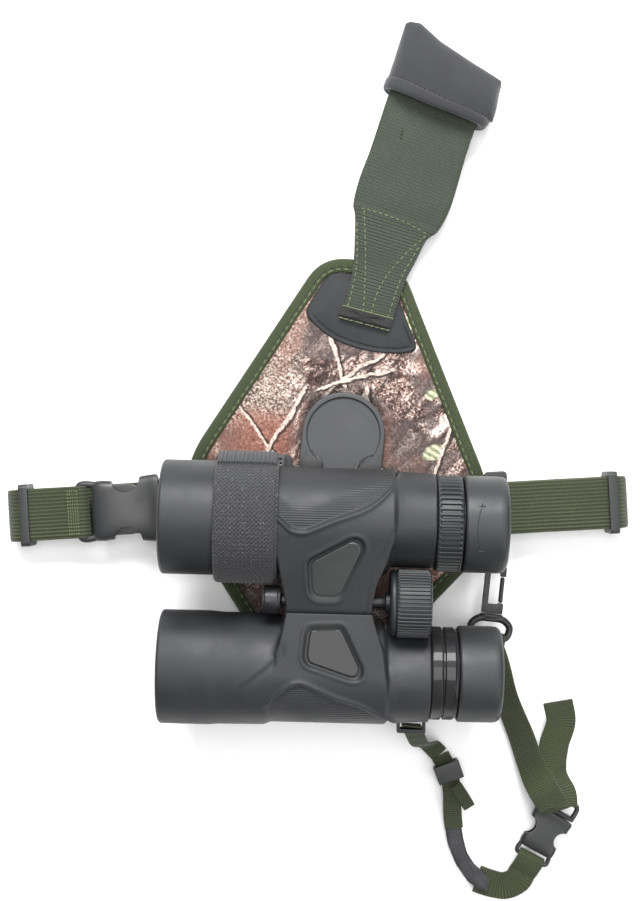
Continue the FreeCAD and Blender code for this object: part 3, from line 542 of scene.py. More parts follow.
def cloth_paint(name, dark, light, knit=0.55, depth=0.05, sheen=0.2, rough=0.85):
    """Plain close cloth, knit or coated, with a fine cross grain."""
    paint = Paint(name, roughness=rough, specular=0.3, sheen=sheen)
    where = paint.place()
    parts = paint.split(where)
    cross = paint.maths("MULTIPLY", paint.wave(parts[0], knit), paint.wave(parts[1], knit))
    broad = paint.noise(where, 0.06, 4)
    fine = paint.noise(where, 1.8, 3)
    tone = paint.maths("MULTIPLY_ADD", fine, 0.4, paint.maths("MULTIPLY", broad, 0.6))
    colour = paint.ramp(tone, [(0.28, dark), (0.72, light)])
    paint.bump(cross, depth)
    paint.bump(fine, depth)
    return paint.finish(colour)


def mesh_paint(name, dark, light):
    """Spacer mesh: rows of small round holes in a pale-edged knit, the holes darkened with painted
    shade.
    """
    paint = Paint(name, roughness=0.9, specular=0.2, sheen=0.25)
    parts = paint.split(paint.place())
    a = paint.wave(parts[0], 2.2)
    b = paint.wave(parts[1], 2.2)
    shaded_hole = paint.fade(paint.maths("MULTIPLY", a, b), 0.35, 0.6)
    fuzz = paint.noise(paint.place(), 1.4, 3)
    # painted shade: each hole is darkened to a third of the knit's dark colour
    colour = paint.mix(shaded_hole, paint.ramp(fuzz, [(0.3, dark), (0.7, light)]),
                       [0.3 * c for c in dark])
    paint.bump(paint.maths("SUBTRACT", 1.0, shaded_hole), 0.35)
    paint.bump(fuzz, 0.08)
    return paint.finish(colour)


def branch(paint, where, turn, offset, width, warp, start, end):
    """How much a point lies on one crooked twig: 1 on it, and its shadow beside it."""
    c, s = math.cos(turn), math.sin(turn)
    parts = paint.split(where)
    crooked = paint.maths("MULTIPLY_ADD", warp, 9.0, -4.5)
    side = paint.maths("MULTIPLY_ADD", parts[0], -s, paint.maths("MULTIPLY", parts[1], c))
    side = paint.maths("ADD", paint.maths("SUBTRACT", side, offset), crooked)
    far = paint.maths("MULTIPLY_ADD", parts[0], c, paint.maths("MULTIPLY", parts[1], s))
    reach = paint.maths("MULTIPLY", paint.fade(far, start - 4, start), paint.fade(
        far, end, end + 4, 1, 0))
    wood = paint.fade(paint.maths("ABSOLUTE", side), width * 0.6, width, 1, 0)
    shade = paint.fade(paint.maths("ABSOLUTE", paint.maths("ADD", side, width * 1.4)),
                       width * 0.3, width, 1, 0)
    return paint.maths("MULTIPLY", wood, reach), paint.maths("MULTIPLY", shade, reach)


def camo_paint():
    """Printed woodland pattern: bark, twigs and leaves on a brushed cloth."""
    paint = Paint("camo", roughness=0.82, specular=0.25, sheen=0.15)
    where = paint.place()
    bark = paint.noise(paint.place((1.0, 0.28, 1), 0.75), 0.16, 8, 0.72, 0.9)
    plates = paint.cells(paint.place((1, 0.45, 1), 0.75), 0.075, "DISTANCE_TO_EDGE")
    speck = paint.noise(where, 0.85, 5, 0.75)
    grit = paint.noise(where, 2.6, 2, 0.6)
    tone = paint.maths("MULTIPLY_ADD", speck, 0.75, paint.maths("MULTIPLY", bark, 0.62))
    colour = paint.ramp(tone, [
        (0.54, (0.012, 0.008, 0.008)), (0.63, (0.060, 0.034, 0.030)),
        (0.69, (0.20, 0.125, 0.105)), (0.74, (0.50, 0.38, 0.33)), (0.82, (0.88, 0.80, 0.74))])
    colour = paint.mix(paint.fade(plates, 0.0, 0.11, 0.8, 0.0), colour, (0.028, 0.017, 0.015))
    parts = paint.split(where)
    bent = paint.noise(where, 0.055, 4, 0.6)
    plain = paint.fade(paint.noise(paint.place((1, 0.6, 1), 0.75), 0.045, 3), 0.50, 0.56)
    dull = paint.ramp(speck, [(0.3, (0.055, 0.040, 0.038)), (0.7, (0.125, 0.095, 0.088))])
    colour = paint.mix(paint.maths("MULTIPLY", plain, 0.8), colour, dull)
    pale = paint.maths("MULTIPLY", paint.fade(parts[0], -30, -20, 1, 0),
                       paint.fade(parts[1], 34, 46))
    salt = paint.ramp(speck, [(0.40, (0.035, 0.022, 0.02)), (0.52, (0.36, 0.26, 0.21)),
                              (0.63, (0.86, 0.80, 0.72))])
    colour = paint.mix(paint.maths("MULTIPLY", pale, 0.6), colour, salt)
    # a reddish rotten patch low on the left, and greener leaves to the right
    spot = paint.maths("MULTIPLY", paint.fade(parts[0], -64, -44), paint.fade(
        parts[0], -30, -18, 1, 0))
    spot = paint.maths("MULTIPLY", spot, paint.fade(parts[1], 14, 28))
    spot = paint.maths("MULTIPLY", spot, paint.fade(parts[1], 42, 52, 1, 0))
    red = paint.ramp(speck, [(0.35, (0.10, 0.028, 0.018)), (0.6, (0.36, 0.155, 0.11)),
                             (0.75, (0.62, 0.42, 0.34))])
    colour = paint.mix(paint.maths("MULTIPLY", spot, 0.75), colour, red)
    red_grain = paint.fade(paint.noise(where, 0.03, 3), 0.52, 0.62, 0, 0.6)
    colour = paint.mix(red_grain, colour, paint.mix(0.55, colour, (0.26, 0.12, 0.085)))
    leaf = paint.cells(paint.place((0.75, 1.25, 1), -0.5), 0.052, "F1")
    leaf = paint.fade(paint.maths("MULTIPLY_ADD", bent, 0.35, leaf), 0.36, 0.42, 1, 0)
    right = paint.fade(parts[0], 8, 24)
    vein = paint.wave(paint.maths("MULTIPLY_ADD", parts[0], 0.5, parts[1]), 3.4)
    green = paint.ramp(paint.maths("MULTIPLY_ADD", vein, 0.25, speck), [
        (0.4, (0.10, 0.115, 0.065)), (0.62, (0.33, 0.35, 0.22)), (0.85, (0.70, 0.68, 0.52))])
    colour = paint.mix(paint.maths("MULTIPLY", leaf, right), colour, green)
    for turn, offset, width, start, end in (
            (1.95, -22.0, 1.0, 60, 88), (1.75, -20.0, 1.2, 8, 60), (0.7, 52.0, 0.9, 30, 62),
            (2.3, 6.0, 0.8, 20, 90), (0.35, 62.0, 0.8, 8, 44), (1.3, -38.0, 1.1, 10, 60),
            (1.15, 44.0, 1.0, -2, 46), (2.75, -30.0, 0.9, -60, 10)):
        wood, shade = branch(paint, where, turn, offset, width, bent, start, end)
        colour = paint.mix(paint.maths("MULTIPLY", shade, 0.85), colour, (0.022, 0.014, 0.012))
        colour = paint.mix(paint.maths("MULTIPLY", wood, 0.9), colour, paint.ramp(speck, [
            (0.35, (0.30, 0.21, 0.17)), (0.62, (0.80, 0.70, 0.62))]))
    cross = paint.maths("MULTIPLY", paint.wave(parts[0], 0.5), paint.wave(parts[1], 0.5))
    paint.bump(cross, 0.05)
    paint.bump(grit, 0.08)
    paint.bump(bark, 0.12)
    return paint.finish(colour)


def hook_loop_paint():
    """Hook-and-loop tape: a dark diagonal weave with loops standing in it, speckled with a painted
    glint.
    """
    paint = Paint("hook_loop", roughness=0.75, specular=0.4, sheen=0.15)
    parts = paint.split(paint.weave())
    left = paint.wave(paint.maths("ADD", parts[0], parts[1]), 1.9)
    right = paint.wave(paint.maths("SUBTRACT", parts[0], parts[1]), 1.9)
    twill = paint.maths("MAXIMUM", left, paint.maths("MULTIPLY", right, 0.8))
    where = paint.place()
    loops = paint.fade(paint.cells(where, 1.15), 0.1, 0.42, 1, 0)
    fuzz = paint.noise(where, 1.5, 4)
    glint = paint.maths("MULTIPLY", loops, paint.fade(fuzz, 0.5, 0.66))
    colour = paint.ramp(paint.maths("MULTIPLY", twill, fuzz), [
        (0.1, (0.008, 0.008, 0.009)), (0.6, (0.042, 0.043, 0.047))])
    # painted highlight: pale glints on some of the loops
    colour = paint.mix(paint.maths("MULTIPLY", glint, 0.55), colour, (0.30, 0.30, 0.32))
    paint.bump(twill, 0.22)
    paint.bump(fuzz, 0.15)
    return paint.finish(colour)


def lens_paint():
    """Coated glass: dark depth with a green and violet bloom at the rim."""
    paint = Paint("lens", roughness=0.04, specular=0.8, coat=1.0)
    rim = paint.node("LayerWeight", {"Blend": 0.35}).outputs["Facing"]
    where = paint.place()
    smear = paint.noise(where, 0.06, 3)
    colour = paint.ramp(rim, [(0.0, (0.006, 0.012, 0.012)), (0.45, (0.015, 0.06, 0.045)),
                              (0.8, (0.06, 0.03, 0.10)), (1.0, (0.10, 0.09, 0.14))])
    colour = paint.mix(paint.fade(smear, 0.5, 0.8, 0, 0.2), colour, (0.03, 0.05, 0.07))
    return paint.finish(colour, paint.fade(smear, 0.3, 0.8, 0.03, 0.12))


def metal_paint(name, dark, light, rough=(0.25, 0.4), metallic=1.0):
    paint = Paint(name, metallic=metallic)
    where = paint.place((1, 6, 1))
    brushed = paint.noise(where, 0.8, 4)
    wear = paint.noise(paint.place(), 0.25, 4)
    colour = paint.ramp(paint.maths("MULTIPLY_ADD", brushed, 0.5, paint.maths(
        "MULTIPLY", wear, 0.5)), [(0.35, dark), (0.65, light)])
    paint.bump(brushed, 0.01)
    return paint.finish(colour, paint.fade(wear, 0.3, 0.7, rough[0], rough[1]))


def leather_paint():
    paint = Paint("leather", roughness=0.5, specular=0.45)
    where = paint.place()
    grain = paint.cells(where, 0.85, "DISTANCE_TO_EDGE")
    crease = paint.noise(where, 0.12, 5)
    colour = paint.ramp(crease, [(0.3, (0.016, 0.016, 0.018)), (0.7, (0.048, 0.048, 0.052))])
    colour = paint.mix(paint.fade(grain, 0.0, 0.12, 0.5, 0.0), colour, (0.006, 0.006, 0.007))
    paint.bump(paint.fade(grain, 0.0, 0.2), 0.12)
    paint.bump(crease, 0.3)
    return paint.finish(colour, paint.fade(crease, 0.3, 0.7, 0.38, 0.62))


def thread_paint(name, dark, light):
    paint = Paint(name, roughness=0.6, specular=0.4, sheen=0.2)
    twist = paint.wave(paint.maths("ADD", *paint.split(paint.place())[0:2]), 0.5)
    colour = paint.ramp(paint.maths("MULTIPLY", twist, paint.noise(
        paint.place(), 0.8, 2)), [(0.1, dark), (0.5, light)])
    paint.bump(twist, 0.08)
    return paint.finish(colour)


MATERIALS = {
    "lining": mesh_paint("lining", (0.030, 0.032, 0.032), (0.075, 0.078, 0.078)),
    "foam": cloth_paint("foam", (0.04, 0.04, 0.042), (0.07, 0.07, 0.072), 0.9, 0.1),
    "camo": camo_paint(),
    # each webbing_paint entry lists a painted-shade colour, the yarn's own colour and a
    # painted-highlight colour
    "binding": webbing_paint("binding", (0.006, 0.011, 0.002), (0.026, 0.038, 0.012),
                             (0.077, 0.102, 0.034), 0.9, 0.8),
    "black_synthetic": cloth_paint("black_synthetic", (0.010, 0.011, 0.012),
                                   (0.024, 0.025, 0.027), 0.4, 0.03, 0.1, 0.6),
    "olive_webbing": webbing_paint("olive_webbing", (0.010, 0.014, 0.009),
                                   (0.031, 0.042, 0.027), (0.081, 0.099, 0.068), 1.15, 0.8),
    "belt_webbing": webbing_paint("belt_webbing", (0.006, 0.009, 0.003),
                                  (0.023, 0.030, 0.012), (0.061, 0.076, 0.032), 0.9, 0.9,
                                  1.75),
    "neoprene": cloth_paint("neoprene", (0.019, 0.019, 0.022), (0.032, 0.033, 0.038), 0.45,
                            0.04, 0.25),
    "black_tape": webbing_paint("black_tape", (0.004, 0.004, 0.004), (0.018, 0.018, 0.019),
                                (0.05, 0.05, 0.052), 0.8, 0.8),
    "receptacle_plastic": moulded_paint("receptacle_plastic", (0.031, 0.032, 0.034),
                                        (0.050, 0.051, 0.054), (0.45, 0.6), 2.0, 0.03),
    "black_plastic": moulded_paint("black_plastic", (0.007, 0.007, 0.008),
                                   (0.016, 0.017, 0.018), (0.34, 0.52), 1.6, 0.02),
    "gloss_plastic": moulded_paint("gloss_plastic", (0.006, 0.006, 0.007),
                                   (0.013, 0.013, 0.014), (0.42, 0.52), 1.0, 0.004, 0.2, 0.3),
    "armour": armour_paint(),
    "eyecup_rubber": moulded_paint("eyecup_rubber", (0.009, 0.010, 0.011),
                                   (0.016, 0.017, 0.019), (0.4, 0.55), 2.4, 0.02),
    "black_metal": metal_paint("black_metal", (0.006, 0.006, 0.007), (0.022, 0.022, 0.025),
                               (0.3, 0.5), 0.35),
    "lens": lens_paint(),
    "prism_glass": metal_paint("prism_glass", (0.10, 0.12, 0.13), (0.25, 0.28, 0.30),
                               (0.05, 0.12), 0.0),
    "hook_loop": hook_loop_paint(),
    "elastic": webbing_paint("elastic", (0.008, 0.008, 0.009), (0.032, 0.033, 0.037),
                             (0.075, 0.078, 0.085), 1.2, 0.9),
    "steel": metal_paint("steel", (0.32, 0.32, 0.33), (0.62, 0.62, 0.64), (0.15, 0.32)),
    "tether_webbing": webbing_paint("tether_webbing", (0.013, 0.015, 0.005),
                                    (0.028, 0.034, 0.013), (0.071, 0.084, 0.034), 0.9, 1.1),
    "leather": leather_paint(),
}
PALE_THREAD = thread_paint("pale_thread", (0.07, 0.09, 0.035), (0.25, 0.29, 0.14))
DARK_THREAD = thread_paint("dark_thread", (0.004, 0.004, 0.004), (0.03, 0.03, 0.032))
BADGE_GREY = moulded_paint("badge_grey", (0.020, 0.021, 0.021), (0.032, 0.033, 0.033),
                           (0.3, 0.42), 1.2, 0.01)


# ---------------------------------------------------------------- panel
PANEL_CORNERS = [(-74, -10), (-74, 21), (-19.5, 125.5), (19.5, 125.5), (74, 21), (74, -10),
                 (14, -86), (-14, -86)]
PLATE_HALF = 20.0
PLATE_ARCH_Y = 40.3


def panel_outline(inset, count=360):
    """The kite outline moved inwards, with the same points at every inset."""
    line = even(soften(PANEL_CORNERS, 13, 8), count)
    way = np.roll(line, -2, 0) - np.roll(line, 2, 0)
    way /= np.linalg.norm(way, axis=1)[:, None]
    inward = np.stack([way[:, 1], -way[:, 0]], 1)
    return line + inward * np.reshape(inset, (-1, 1))


def plate_gap(x, y):
    """Distance outside the receptacle plate's outline, a slot with round ends."""
    low = np.clip(y, 0, PLATE_ARCH_Y)
    return np.hypot(x, y - low) - PLATE_HALF


def inflate(piece, held, pressure, cap):
    """Blow a closed cloth up a little; held marks the points that stay where they are."""
    group = piece.vertex_groups.new(name="held")
    group.add([int(i) for i in np.flatnonzero(held)], 1.0, "REPLACE")
    count = len(piece.data.vertices)
    before = np.empty(count * 3)
    piece.data.vertices.foreach_get("co", before)
    cloth = piece.modifiers.new("cloth", "CLOTH")
    cloth.settings.quality = 5
    cloth.settings.mass = 0.2
    cloth.settings.tension_stiffness = 8
    cloth.settings.compression_stiffness = 8
    cloth.settings.bending_stiffness = 0.15
    cloth.settings.vertex_group_mass = "held"
    cloth.settings.use_pressure = True
    cloth.settings.uniform_pressure_force = pressure
    cloth.settings.effector_weights.gravity = 0
    cloth.collision_settings.use_collision = False
    scene = bpy.context.scene
    for step in range(1, 21):
        scene.frame_set(step)
    shape = piece.evaluated_get(bpy.context.evaluated_depsgraph_get())
    after = np.empty(count * 3)
    shape.data.vertices.foreach_get("co", after)
    piece.modifiers.remove(cloth)
    scene.frame_set(1)
    move = (after - before).reshape(-1, 3)
    size = np.linalg.norm(move, axis=1)[:, None]
    move *= np.minimum(1, cap * MM / np.maximum(size, 1e-9))
    piece.data.vertices.foreach_set("co", (before.reshape(-1, 3) + move).ravel())
    piece.data.update()


def puff_fold(x, y):
    """The padded roll that runs round the receptacle, with small puckers along it."""
    away = plate_gap(x, y)
    turn = np.arctan2(x, y - 18.0)
    pucker = 0.22 * np.cos(turn * 26 + 2 * np.sin(turn * 7)) + 0.15 * np.cos(turn * 41)
    roll = (2.9 + pucker) * np.exp(-((away - 3.4) / 2.1) ** 2)
    valley = -0.7 * np.exp(-((away - 8.2) / 2.0) ** 2)
    shown = smoothstep(-16, 2, y)
    return (roll + valley) * shown


def build_camo():
    def height(gap, x, y):
        return 8.85 + 0.9 * smoothstep(0, 16, gap)

    piece = puffed("camo_cushion", panel_outline(3.2, 260), 64, height, "harness", "camo",
                   ("panel_foam", "panel_face"), low=1.15, middle=(0, 26), sharp=180)
    count = len(piece.data.vertices)
    place = np.empty(count * 3)
    piece.data.vertices.foreach_get("co", place)
    x, y, z = (place.reshape(-1, 3) / MM).T
    edge = gap_to(panel_outline(0, 120), x, y)
    under_patch = (y > 84) & (np.abs(x) < 24)
    held = (z < 8) | (edge < 7.6) | (plate_gap(x, y) < 0.5) | under_patch
    inflate(piece, held, 2.6, 1.1)
    place = np.empty(count * 3)
    piece.data.vertices.foreach_get("co", place)
    place = place.reshape(-1, 3)
    top = place[:, 2] > 8 * MM
    flat = np.stack([x, y, np.zeros(count)], 1)
    wrinkle = 0.30 * ripple(flat * [1, 0.55, 1], 9.0, 3) + 0.14 * ripple(flat, 3.4, 4)
    free = smoothstep(7, 13, edge) * smoothstep(-0.5, 2.5, plate_gap(x, y)) * (1 - under_patch)
    place[:, 2] += np.where(top, (wrinkle * free + puff_fold(x, y)), 0) * MM
    under_plate = plate_gap(x, y) < 0.4
    place[top & under_plate, 2] = np.minimum(place[top & under_plate, 2], 8.95 * MM)
    piece.data.vertices.foreach_set("co", place.ravel())
    piece.data.update()


def build_binding():
    """A tape folded over the panel's edge, with its two flanges sewn through."""
    section = [(6.9, 9.05), (6.8, 9.75), (6.0, 10.0), (4.4, 9.95), (2.6, 9.9), (1.2, 9.5),
               (0.35, 8.6), (0.05, 7.2), (0.0, 5.0), (0.05, 2.8), (0.35, 1.3), (1.2, 0.35),
               (2.6, 0.08), (4.4, 0.0), (6.2, 0.05), (6.9, 0.3), (6.9, 0.95), (4.0, 1.05),
               (2.9, 1.6), (2.7, 5.0), (2.9, 8.4), (4.0, 8.95)]
    section = even(section, 64)
    count = 900
    line = panel_outline(0, count)
    far = np.linspace(0, 540, count, endpoint=False)
    drift = drift_along(far, 7.0, 5)
    sag = drift_along(far, 3.2, 6)
    rings = []
    for inset, z in section:
        flange = smoothstep(2.5, 6.9, inset)
        flat = panel_outline(inset + 0.35 * drift * flange, count)
        puff = 0.16 * sag * smoothstep(0.5, 4, inset) * (1 if z > 5 else -1)
        rings.append(np.column_stack([flat, z + puff * (z > 9.2)]))
    points = np.array(rings)
    faces = grid_faces(len(section), count, True, True)
    across = np.repeat(np.arange(len(section))[:, None] * 0.55, count, 1)
    weave = np.dstack([across, np.repeat(far[None], len(section), 0), across])
    make("binding_tape", points.reshape(-1, 3), faces, "harness", "binding", ("edge_binding",),
         weave=weave.reshape(-1, 3))
    for name, inset, thread in (("binding_stitches", 5.4, PALE_THREAD),
                                ("binding_stitches_inner", 4.1, DARK_THREAD)):
        flat = panel_outline(inset + 0.25 * drift, count)
        line = np.column_stack([flat, np.full(count, 9.98)])
        stitches(name, [line], "harness", "binding", 3.9, 2.6, 0.3, thread=thread)
    flat = panel_outline(5.2, count)
    line = np.column_stack([flat, np.full(count, 0.12)])
    stitches("binding_stitches_back", [line], "harness", "binding", 3.9, 2.6, 0.28,
             thread=DARK_THREAD)


def build_lining():
    """Quilted spacer mesh on the chest side; its channels run across the panel."""
    def depth(gap, x, y):
        quilt = np.abs(np.cos((x + y) / 22 * math.pi) * np.cos((x - y) / 22 * math.pi))
        seam = smoothstep(0, 0.35, quilt)
        return 1.0 - 0.9 * smoothstep(0, 3, gap) * (0.25 + 0.75 * seam)

    def roof(gap, x, y):
        return np.full(x.shape, 1.12)

    puffed("lining_panel", panel_outline(6.6, 240), 70, roof, "harness", "lining",
           ("panel_lining",), low=depth, middle=(0, 26), sharp=180)


def build_patch():
    corners = [(-25.6, 96.6), (-19, 90.6), (-11, 85.4), (1, 82), (13, 80.6), (25, 81.6),
               (32.2, 84.4), (16.5, 114.6), (12.5, 118.2), (-12.5, 118.2), (-16.5, 115.4)]
    outline = even(soften(corners, 5, 6), 200)

    def height(gap, x, y):
        rim = 9.3 + 1.35 * smoothstep(0, 0.9, gap)
        groove = -0.55 * np.exp(-((gap - 2.6) / 0.45) ** 2)
        low_side = 1 - smoothstep(92, 98, y)
        return rim + groove * low_side + 0.45 * smoothstep(2.5, 9, gap)

    puffed("shoulder_patch", outline, 60, height, "harness", "black_synthetic", ("top_patch",),
           low=8.95, sharp=180)
    edge = even(soften(corners, 5, 6), 400)
    way = np.roll(edge, -2, 0) - np.roll(edge, 2, 0)
    way /= np.linalg.norm(way, axis=1)[:, None]
    inner = edge + np.stack([-way[:, 1], way[:, 0]], 1) * 2.6
    seam = inner[(inner[:, 1] < 95)]
    seam = seam[np.argsort(seam[:, 0])]
    line = np.column_stack([seam, np.full(len(seam), 10.35)])
    stitches("patch_stitches", [line], "harness", "black_synthetic", 2.6, 1.9, 0.26,
             thread=DARK_THREAD)


# ---------------------------------------------------------------- shoulder strap and pad
LEFT_EDGE = [(-7.3, 96.5), (-5.6, 106), (-3.9, 120), (-4.5, 135), (-5.6, 146), (-7.0, 152),
             (-5.3, 164), (-1.4, 179), (4.6, 206), (7.6, 217)]
RIGHT_EDGE = [(17.2, 93), (19.4, 104), (21.8, 116), (26.5, 128), (30.4, 138), (35.2, 142.5),
              (40.2, 155), (44.8, 180), (48.4, 196), (50, 205)]
STRAP_RISE = [(88, 12.0), (126, 12.0), (165, 13.0), (204, 15.0), (222, 15.0)]


def strap_height(y):
    return np.interp(y, *np.array(STRAP_RISE).T)


def build_shoulder_strap():
    """Narrow doubled webbing that opens into a wide strap, sewn where it opens."""
    rows, columns, thick = 560, 44, 1.5
    left = even(curved(LEFT_EDGE), rows, closed=False)
    right = even(curved(RIGHT_EDGE), rows, closed=False)
    share = np.linspace(0, 1, columns)
    flat = left[:, None] + (right - left)[:, None] * share[None, :, None]
    along = distances((left + right) / 2)
    width = np.linalg.norm(right - left, axis=1)
    u = (share[None] - 0.5) * width[:, None]
    v = np.repeat(along[:, None], columns, 1)
    z = strap_height(flat[..., 1])
    wide = smoothstep(50, 66, v)
    rib = 0.15 * np.cos(FULL_TURN * v / 1.55) * (1 - 0.62 * wide)
    crown = 0.7 * wide * (1 - (2 * share[None] - 1) ** 2)
    lump = 0.3 * ripple(np.dstack([flat, z]).reshape(-1, 3), 16, 7).reshape(u.shape)
    step = 0.5 * (1 - smoothstep(52, 55, v))
    rounding = 0.75 * thick * smoothstep(0.94, 1.0, np.abs(2 * share[None] - 1))
    top = z + crown + step + rib + lump * wide + thick / 2 - rounding
    base = z + crown + lump * wide - thick / 2 + rounding * 0.6 - 0.3 * rib
    grid = np.concatenate([np.dstack([flat, top]), np.dstack([flat, base])[:, ::-1]], 1)
    weave = np.concatenate([np.dstack([u, v, u]), np.dstack([u, v, u])[:, ::-1]], 1)
    faces = tube_faces(rows, 2 * columns)
    make("shoulder_webbing", grid.reshape(-1, 3), faces, "harness", "olive_webbing",
         ("shoulder_strap",), 70, weave.reshape(-1, 3))


def on_strap(points, lift=1.45):
    line = curved(points)
    x, y = line[:, 0], line[:, 1]
    wide = smoothstep(142, 158, y)
    return np.column_stack([x, y, strap_height(y) + lift - 0.25 * wide])


def build_strap_seams():
    seams = [
        [(-3.5, 149.8), (8, 147.8), (20, 144.6), (30, 140.4)],
        [(-1.5, 149.0), (1.2, 130), (2.6, 114), (3.4, 99)],
        [(30, 140.0), (20, 129), (11.5, 116), (8.2, 106), (7.2, 99)],
        [(-4.2, 143), (-2.3, 122), (-3.4, 108), (-5.4, 98)],
        [(26.8, 134), (19.8, 118), (16.6, 104), (15.2, 97.5)],
    ]
    lines = [on_strap(s) for s in seams]
    stitches("strap_stitches", lines, "harness", "olive_webbing", 2.9, 2.0, 0.27,
             thread=PALE_THREAD)
    stitches("strap_tack", [on_strap([(12.6, 184.5), (13.0, 189.5)], 2.0)], "harness",
             "olive_webbing", 1.5, 1.3, 0.35, thread=DARK_THREAD)


def build_strap_tail():
    stations = [(4.5, 66, 2.1, 25, 1, -0.12, 0), (6, 90, 2.1, 25, 1, -0.12, 0),
                (9.5, 120, 2.1, 25, 1, -0.12, 0), (14, 140, 3.1, 25, 1, -0.15, 0),
                (19, 165, 5.9, 25, 1, -0.2, 0), (25, 190, 9.1, 25, 1, -0.25, 0),
                (30, 206, 9.9, 25, 1, -0.28, 0), (33, 216, 9.9, 25, 1, -0.28, 0)]
    strap("shoulder_tail", stations, 1.2, "harness", "olive_webbing", ("shoulder_strap_tail",),
          ribs=(1.5, 0.08), seed=8)


def pad_loop(share, grow, count=160):
    """One ring of the padded sleeve: share 0 is at its mouth and 1 at its folded end."""
    top = np.array([(-30, 33), (-27.5, 35.2), (-22.4, 36.2), (-10, 31.4), (8, 27.6),
                    (24.3, 25), (26.9, 19), (27.6, 14)])
    turn = np.linspace(0, FULL_TURN, count, endpoint=False)
    ca, sa = np.cos(turn), np.sin(turn)
    left = -29.3 + 2.4 * (1 - share) - grow
    right = 24.6 + 3.0 * smoothstep(0, 0.35, share) - 2.2 * smoothstep(0.5, 1, share) + grow
    middle, half = (left + right) / 2, (right - left) / 2
    x = middle + half * np.sign(ca) * np.abs(ca) ** 0.72
    reach = np.interp(x, *top.T)
    close = math.sqrt(max(0.0, 1 - share ** 5.0))
    belly = 11.9 * (0.10 + 0.90 * close)
    lean = 1 - 0.30 * smoothstep(0.3, 1.0, share)
    z = 12.5 + (belly + grow) * lean * np.sign(sa) * np.abs(sa) ** 0.85
    y = 0.2 + (reach - 0.2) * share
    y = y - 1.2 * (1 - share) * (1 - np.abs(ca))
    return np.column_stack([x, y, z])


def build_pad():
    outer = [pad_loop(s, 0) for s in np.linspace(0.985, 0.02, 60)]
    lip = []
    for turn in np.linspace(0.2, 0.9, 5):
        ring = pad_loop(0.02, -3.4 * turn)
        ring[:, 1] -= 0.8 * math.sin(turn * math.pi)
        lip.append(ring)
    inner = [pad_loop(s, -3.5) for s in np.linspace(0.03, 0.5, 24)]
    rings = np.array(outer + lip + inner)
    flat = rings.reshape(-1, 3)
    swell = 0.35 * ripple(flat, 17, 11) + 0.12 * ripple(flat, 6, 12)
    rings[..., 2] += swell.reshape(rings.shape[:2])
    faces = tube_faces(len(rings), rings.shape[1])
    pad = make("shoulder_cushion", PAD(rings.reshape(-1, 3)), faces, "harness", "neoprene",
               ("shoulder_pad",), 180)
    hem = []
    for y, grow in ((5.6, -0.2), (5.2, 0.35), (4.2, 0.8), (2.2, 0.95), (0.8, 0.9), (-0.1, 0.5),
                    (-0.4, -0.4), (-0.1, -1.2), (1.0, -1.6), (3.0, -1.4)):
        ring = pad_loop(max(0.0, y) / 34, grow)
        ring[:, 1] += min(0.0, y)
        hem.append(ring)
    hem = np.array(hem)
    faces = grid_faces(len(hem), hem.shape[1], True, True)
    band = make("cushion_hem", PAD(hem.reshape(-1, 3)), faces, "harness", "neoprene",
                ("pad_hem",), 180)
    seam = pad_loop(5.9 / 34, 0.15)
    stitches("hem_stitches", [PAD(np.vstack([seam, seam[:1]]))], "harness", "neoprene",
             2.6, 1.9, 0.24, thread=DARK_THREAD)


def build_anchor():
    """The sewn end of the strap: a black tape bar over it, with bartacks."""
    place = Place(4.4, 97.2, 0, -9)
    corners = [(-13, -2.6), (13, -2.6), (13, 2.6), (-13, 2.6)]

    def height(gap, x, y):
        tack = 0.22 * np.cos(FULL_TURN * x / 1.1) * smoothstep(0.5, 1.1, gap)
        return 13.3 + 1.2 * smoothstep(0, 0.8, gap) + tack

    puffed("anchor_tape", even(soften(corners, 1.3), 220), 14, height, "harness", "black_tape",
           ("strap_anchor",), low=12.3, place=place, sharp=180)
    fray = [[(x, -3.1, 13.4), (x + 1.5 + 0.4 * math.sin(x), -3.0, 13.9)]
            for x in np.arange(-12, 12, 2.6)]
    fray += [[(x, 2.9, 14.1), (x + 1.6, 3.0, 14.1)] for x in np.arange(-11.6, 12, 2.3)]
    stitches("anchor_threads", fray, "harness", "black_tape", 1.6, 1.7, 0.3, place,
             PALE_THREAD)


# ---------------------------------------------------------------- binocular barrels
BARREL_PROFILE = [(-79.0, 24.3), (-78.7, 25.3), (-77.8, 26.0), (-56, 26.0), (-52, 25.6),
                  (-22, 25.2), (12, 25.4), (24, 23.9), (30, 23.1), (44.4, 22.4)]
BARREL_INSIDE = [(44.4, 18.6), (43.6, 17.6), (24.6, 17.6), (24.0, 19.5), (23.6, 21.7),
                 (-40, 21.8), (-66, 21.8), (-72.8, 22.35), (-78.6, 22.6), (-79.0, 23.2)]
KNUCKLE = 9.3
NECK_BY_WHEEL = 20.5
CROWDED_AT_RIM = 1.6


def to_hinge_and_out(axis, angles):
    """The way from a barrel's axis to the hinge, and the ways out at the angles."""
    way = np.array([HINGE_AXIS[0] - axis[0], HINGE_AXIS[1] - axis[1]])
    return way, np.stack([-np.sin(angles), np.cos(angles)], 1)


def hull_reach(axis, angles, big):
    """Distance from the barrel's axis to the cover that joins it to the hinge."""
    way, aim = to_hinge_and_out(axis, angles)
    best = np.full(angles.shape, float(big))
    for t in np.linspace(0, 1, 60):
        centre, radius = way * t, big + (KNUCKLE - big) * t
        ahead = aim @ centre
        inside = radius ** 2 - centre @ centre + ahead ** 2
        reach = ahead + np.sqrt(np.maximum(inside, 0))
        best = np.where(inside > 0, np.maximum(best, reach), best)
    return best


def pocket_reach(axis, angles, radius):
    """Distance to the round pocket about the hinge, where the ray meets it."""
    way, aim = to_hinge_and_out(axis, angles)
    ahead = aim @ way
    inside = radius ** 2 - way @ way + ahead ** 2
    near = ahead - np.sqrt(np.maximum(inside, 0))
    return np.where((inside > 0) & (ahead > 0), near, 1e9)


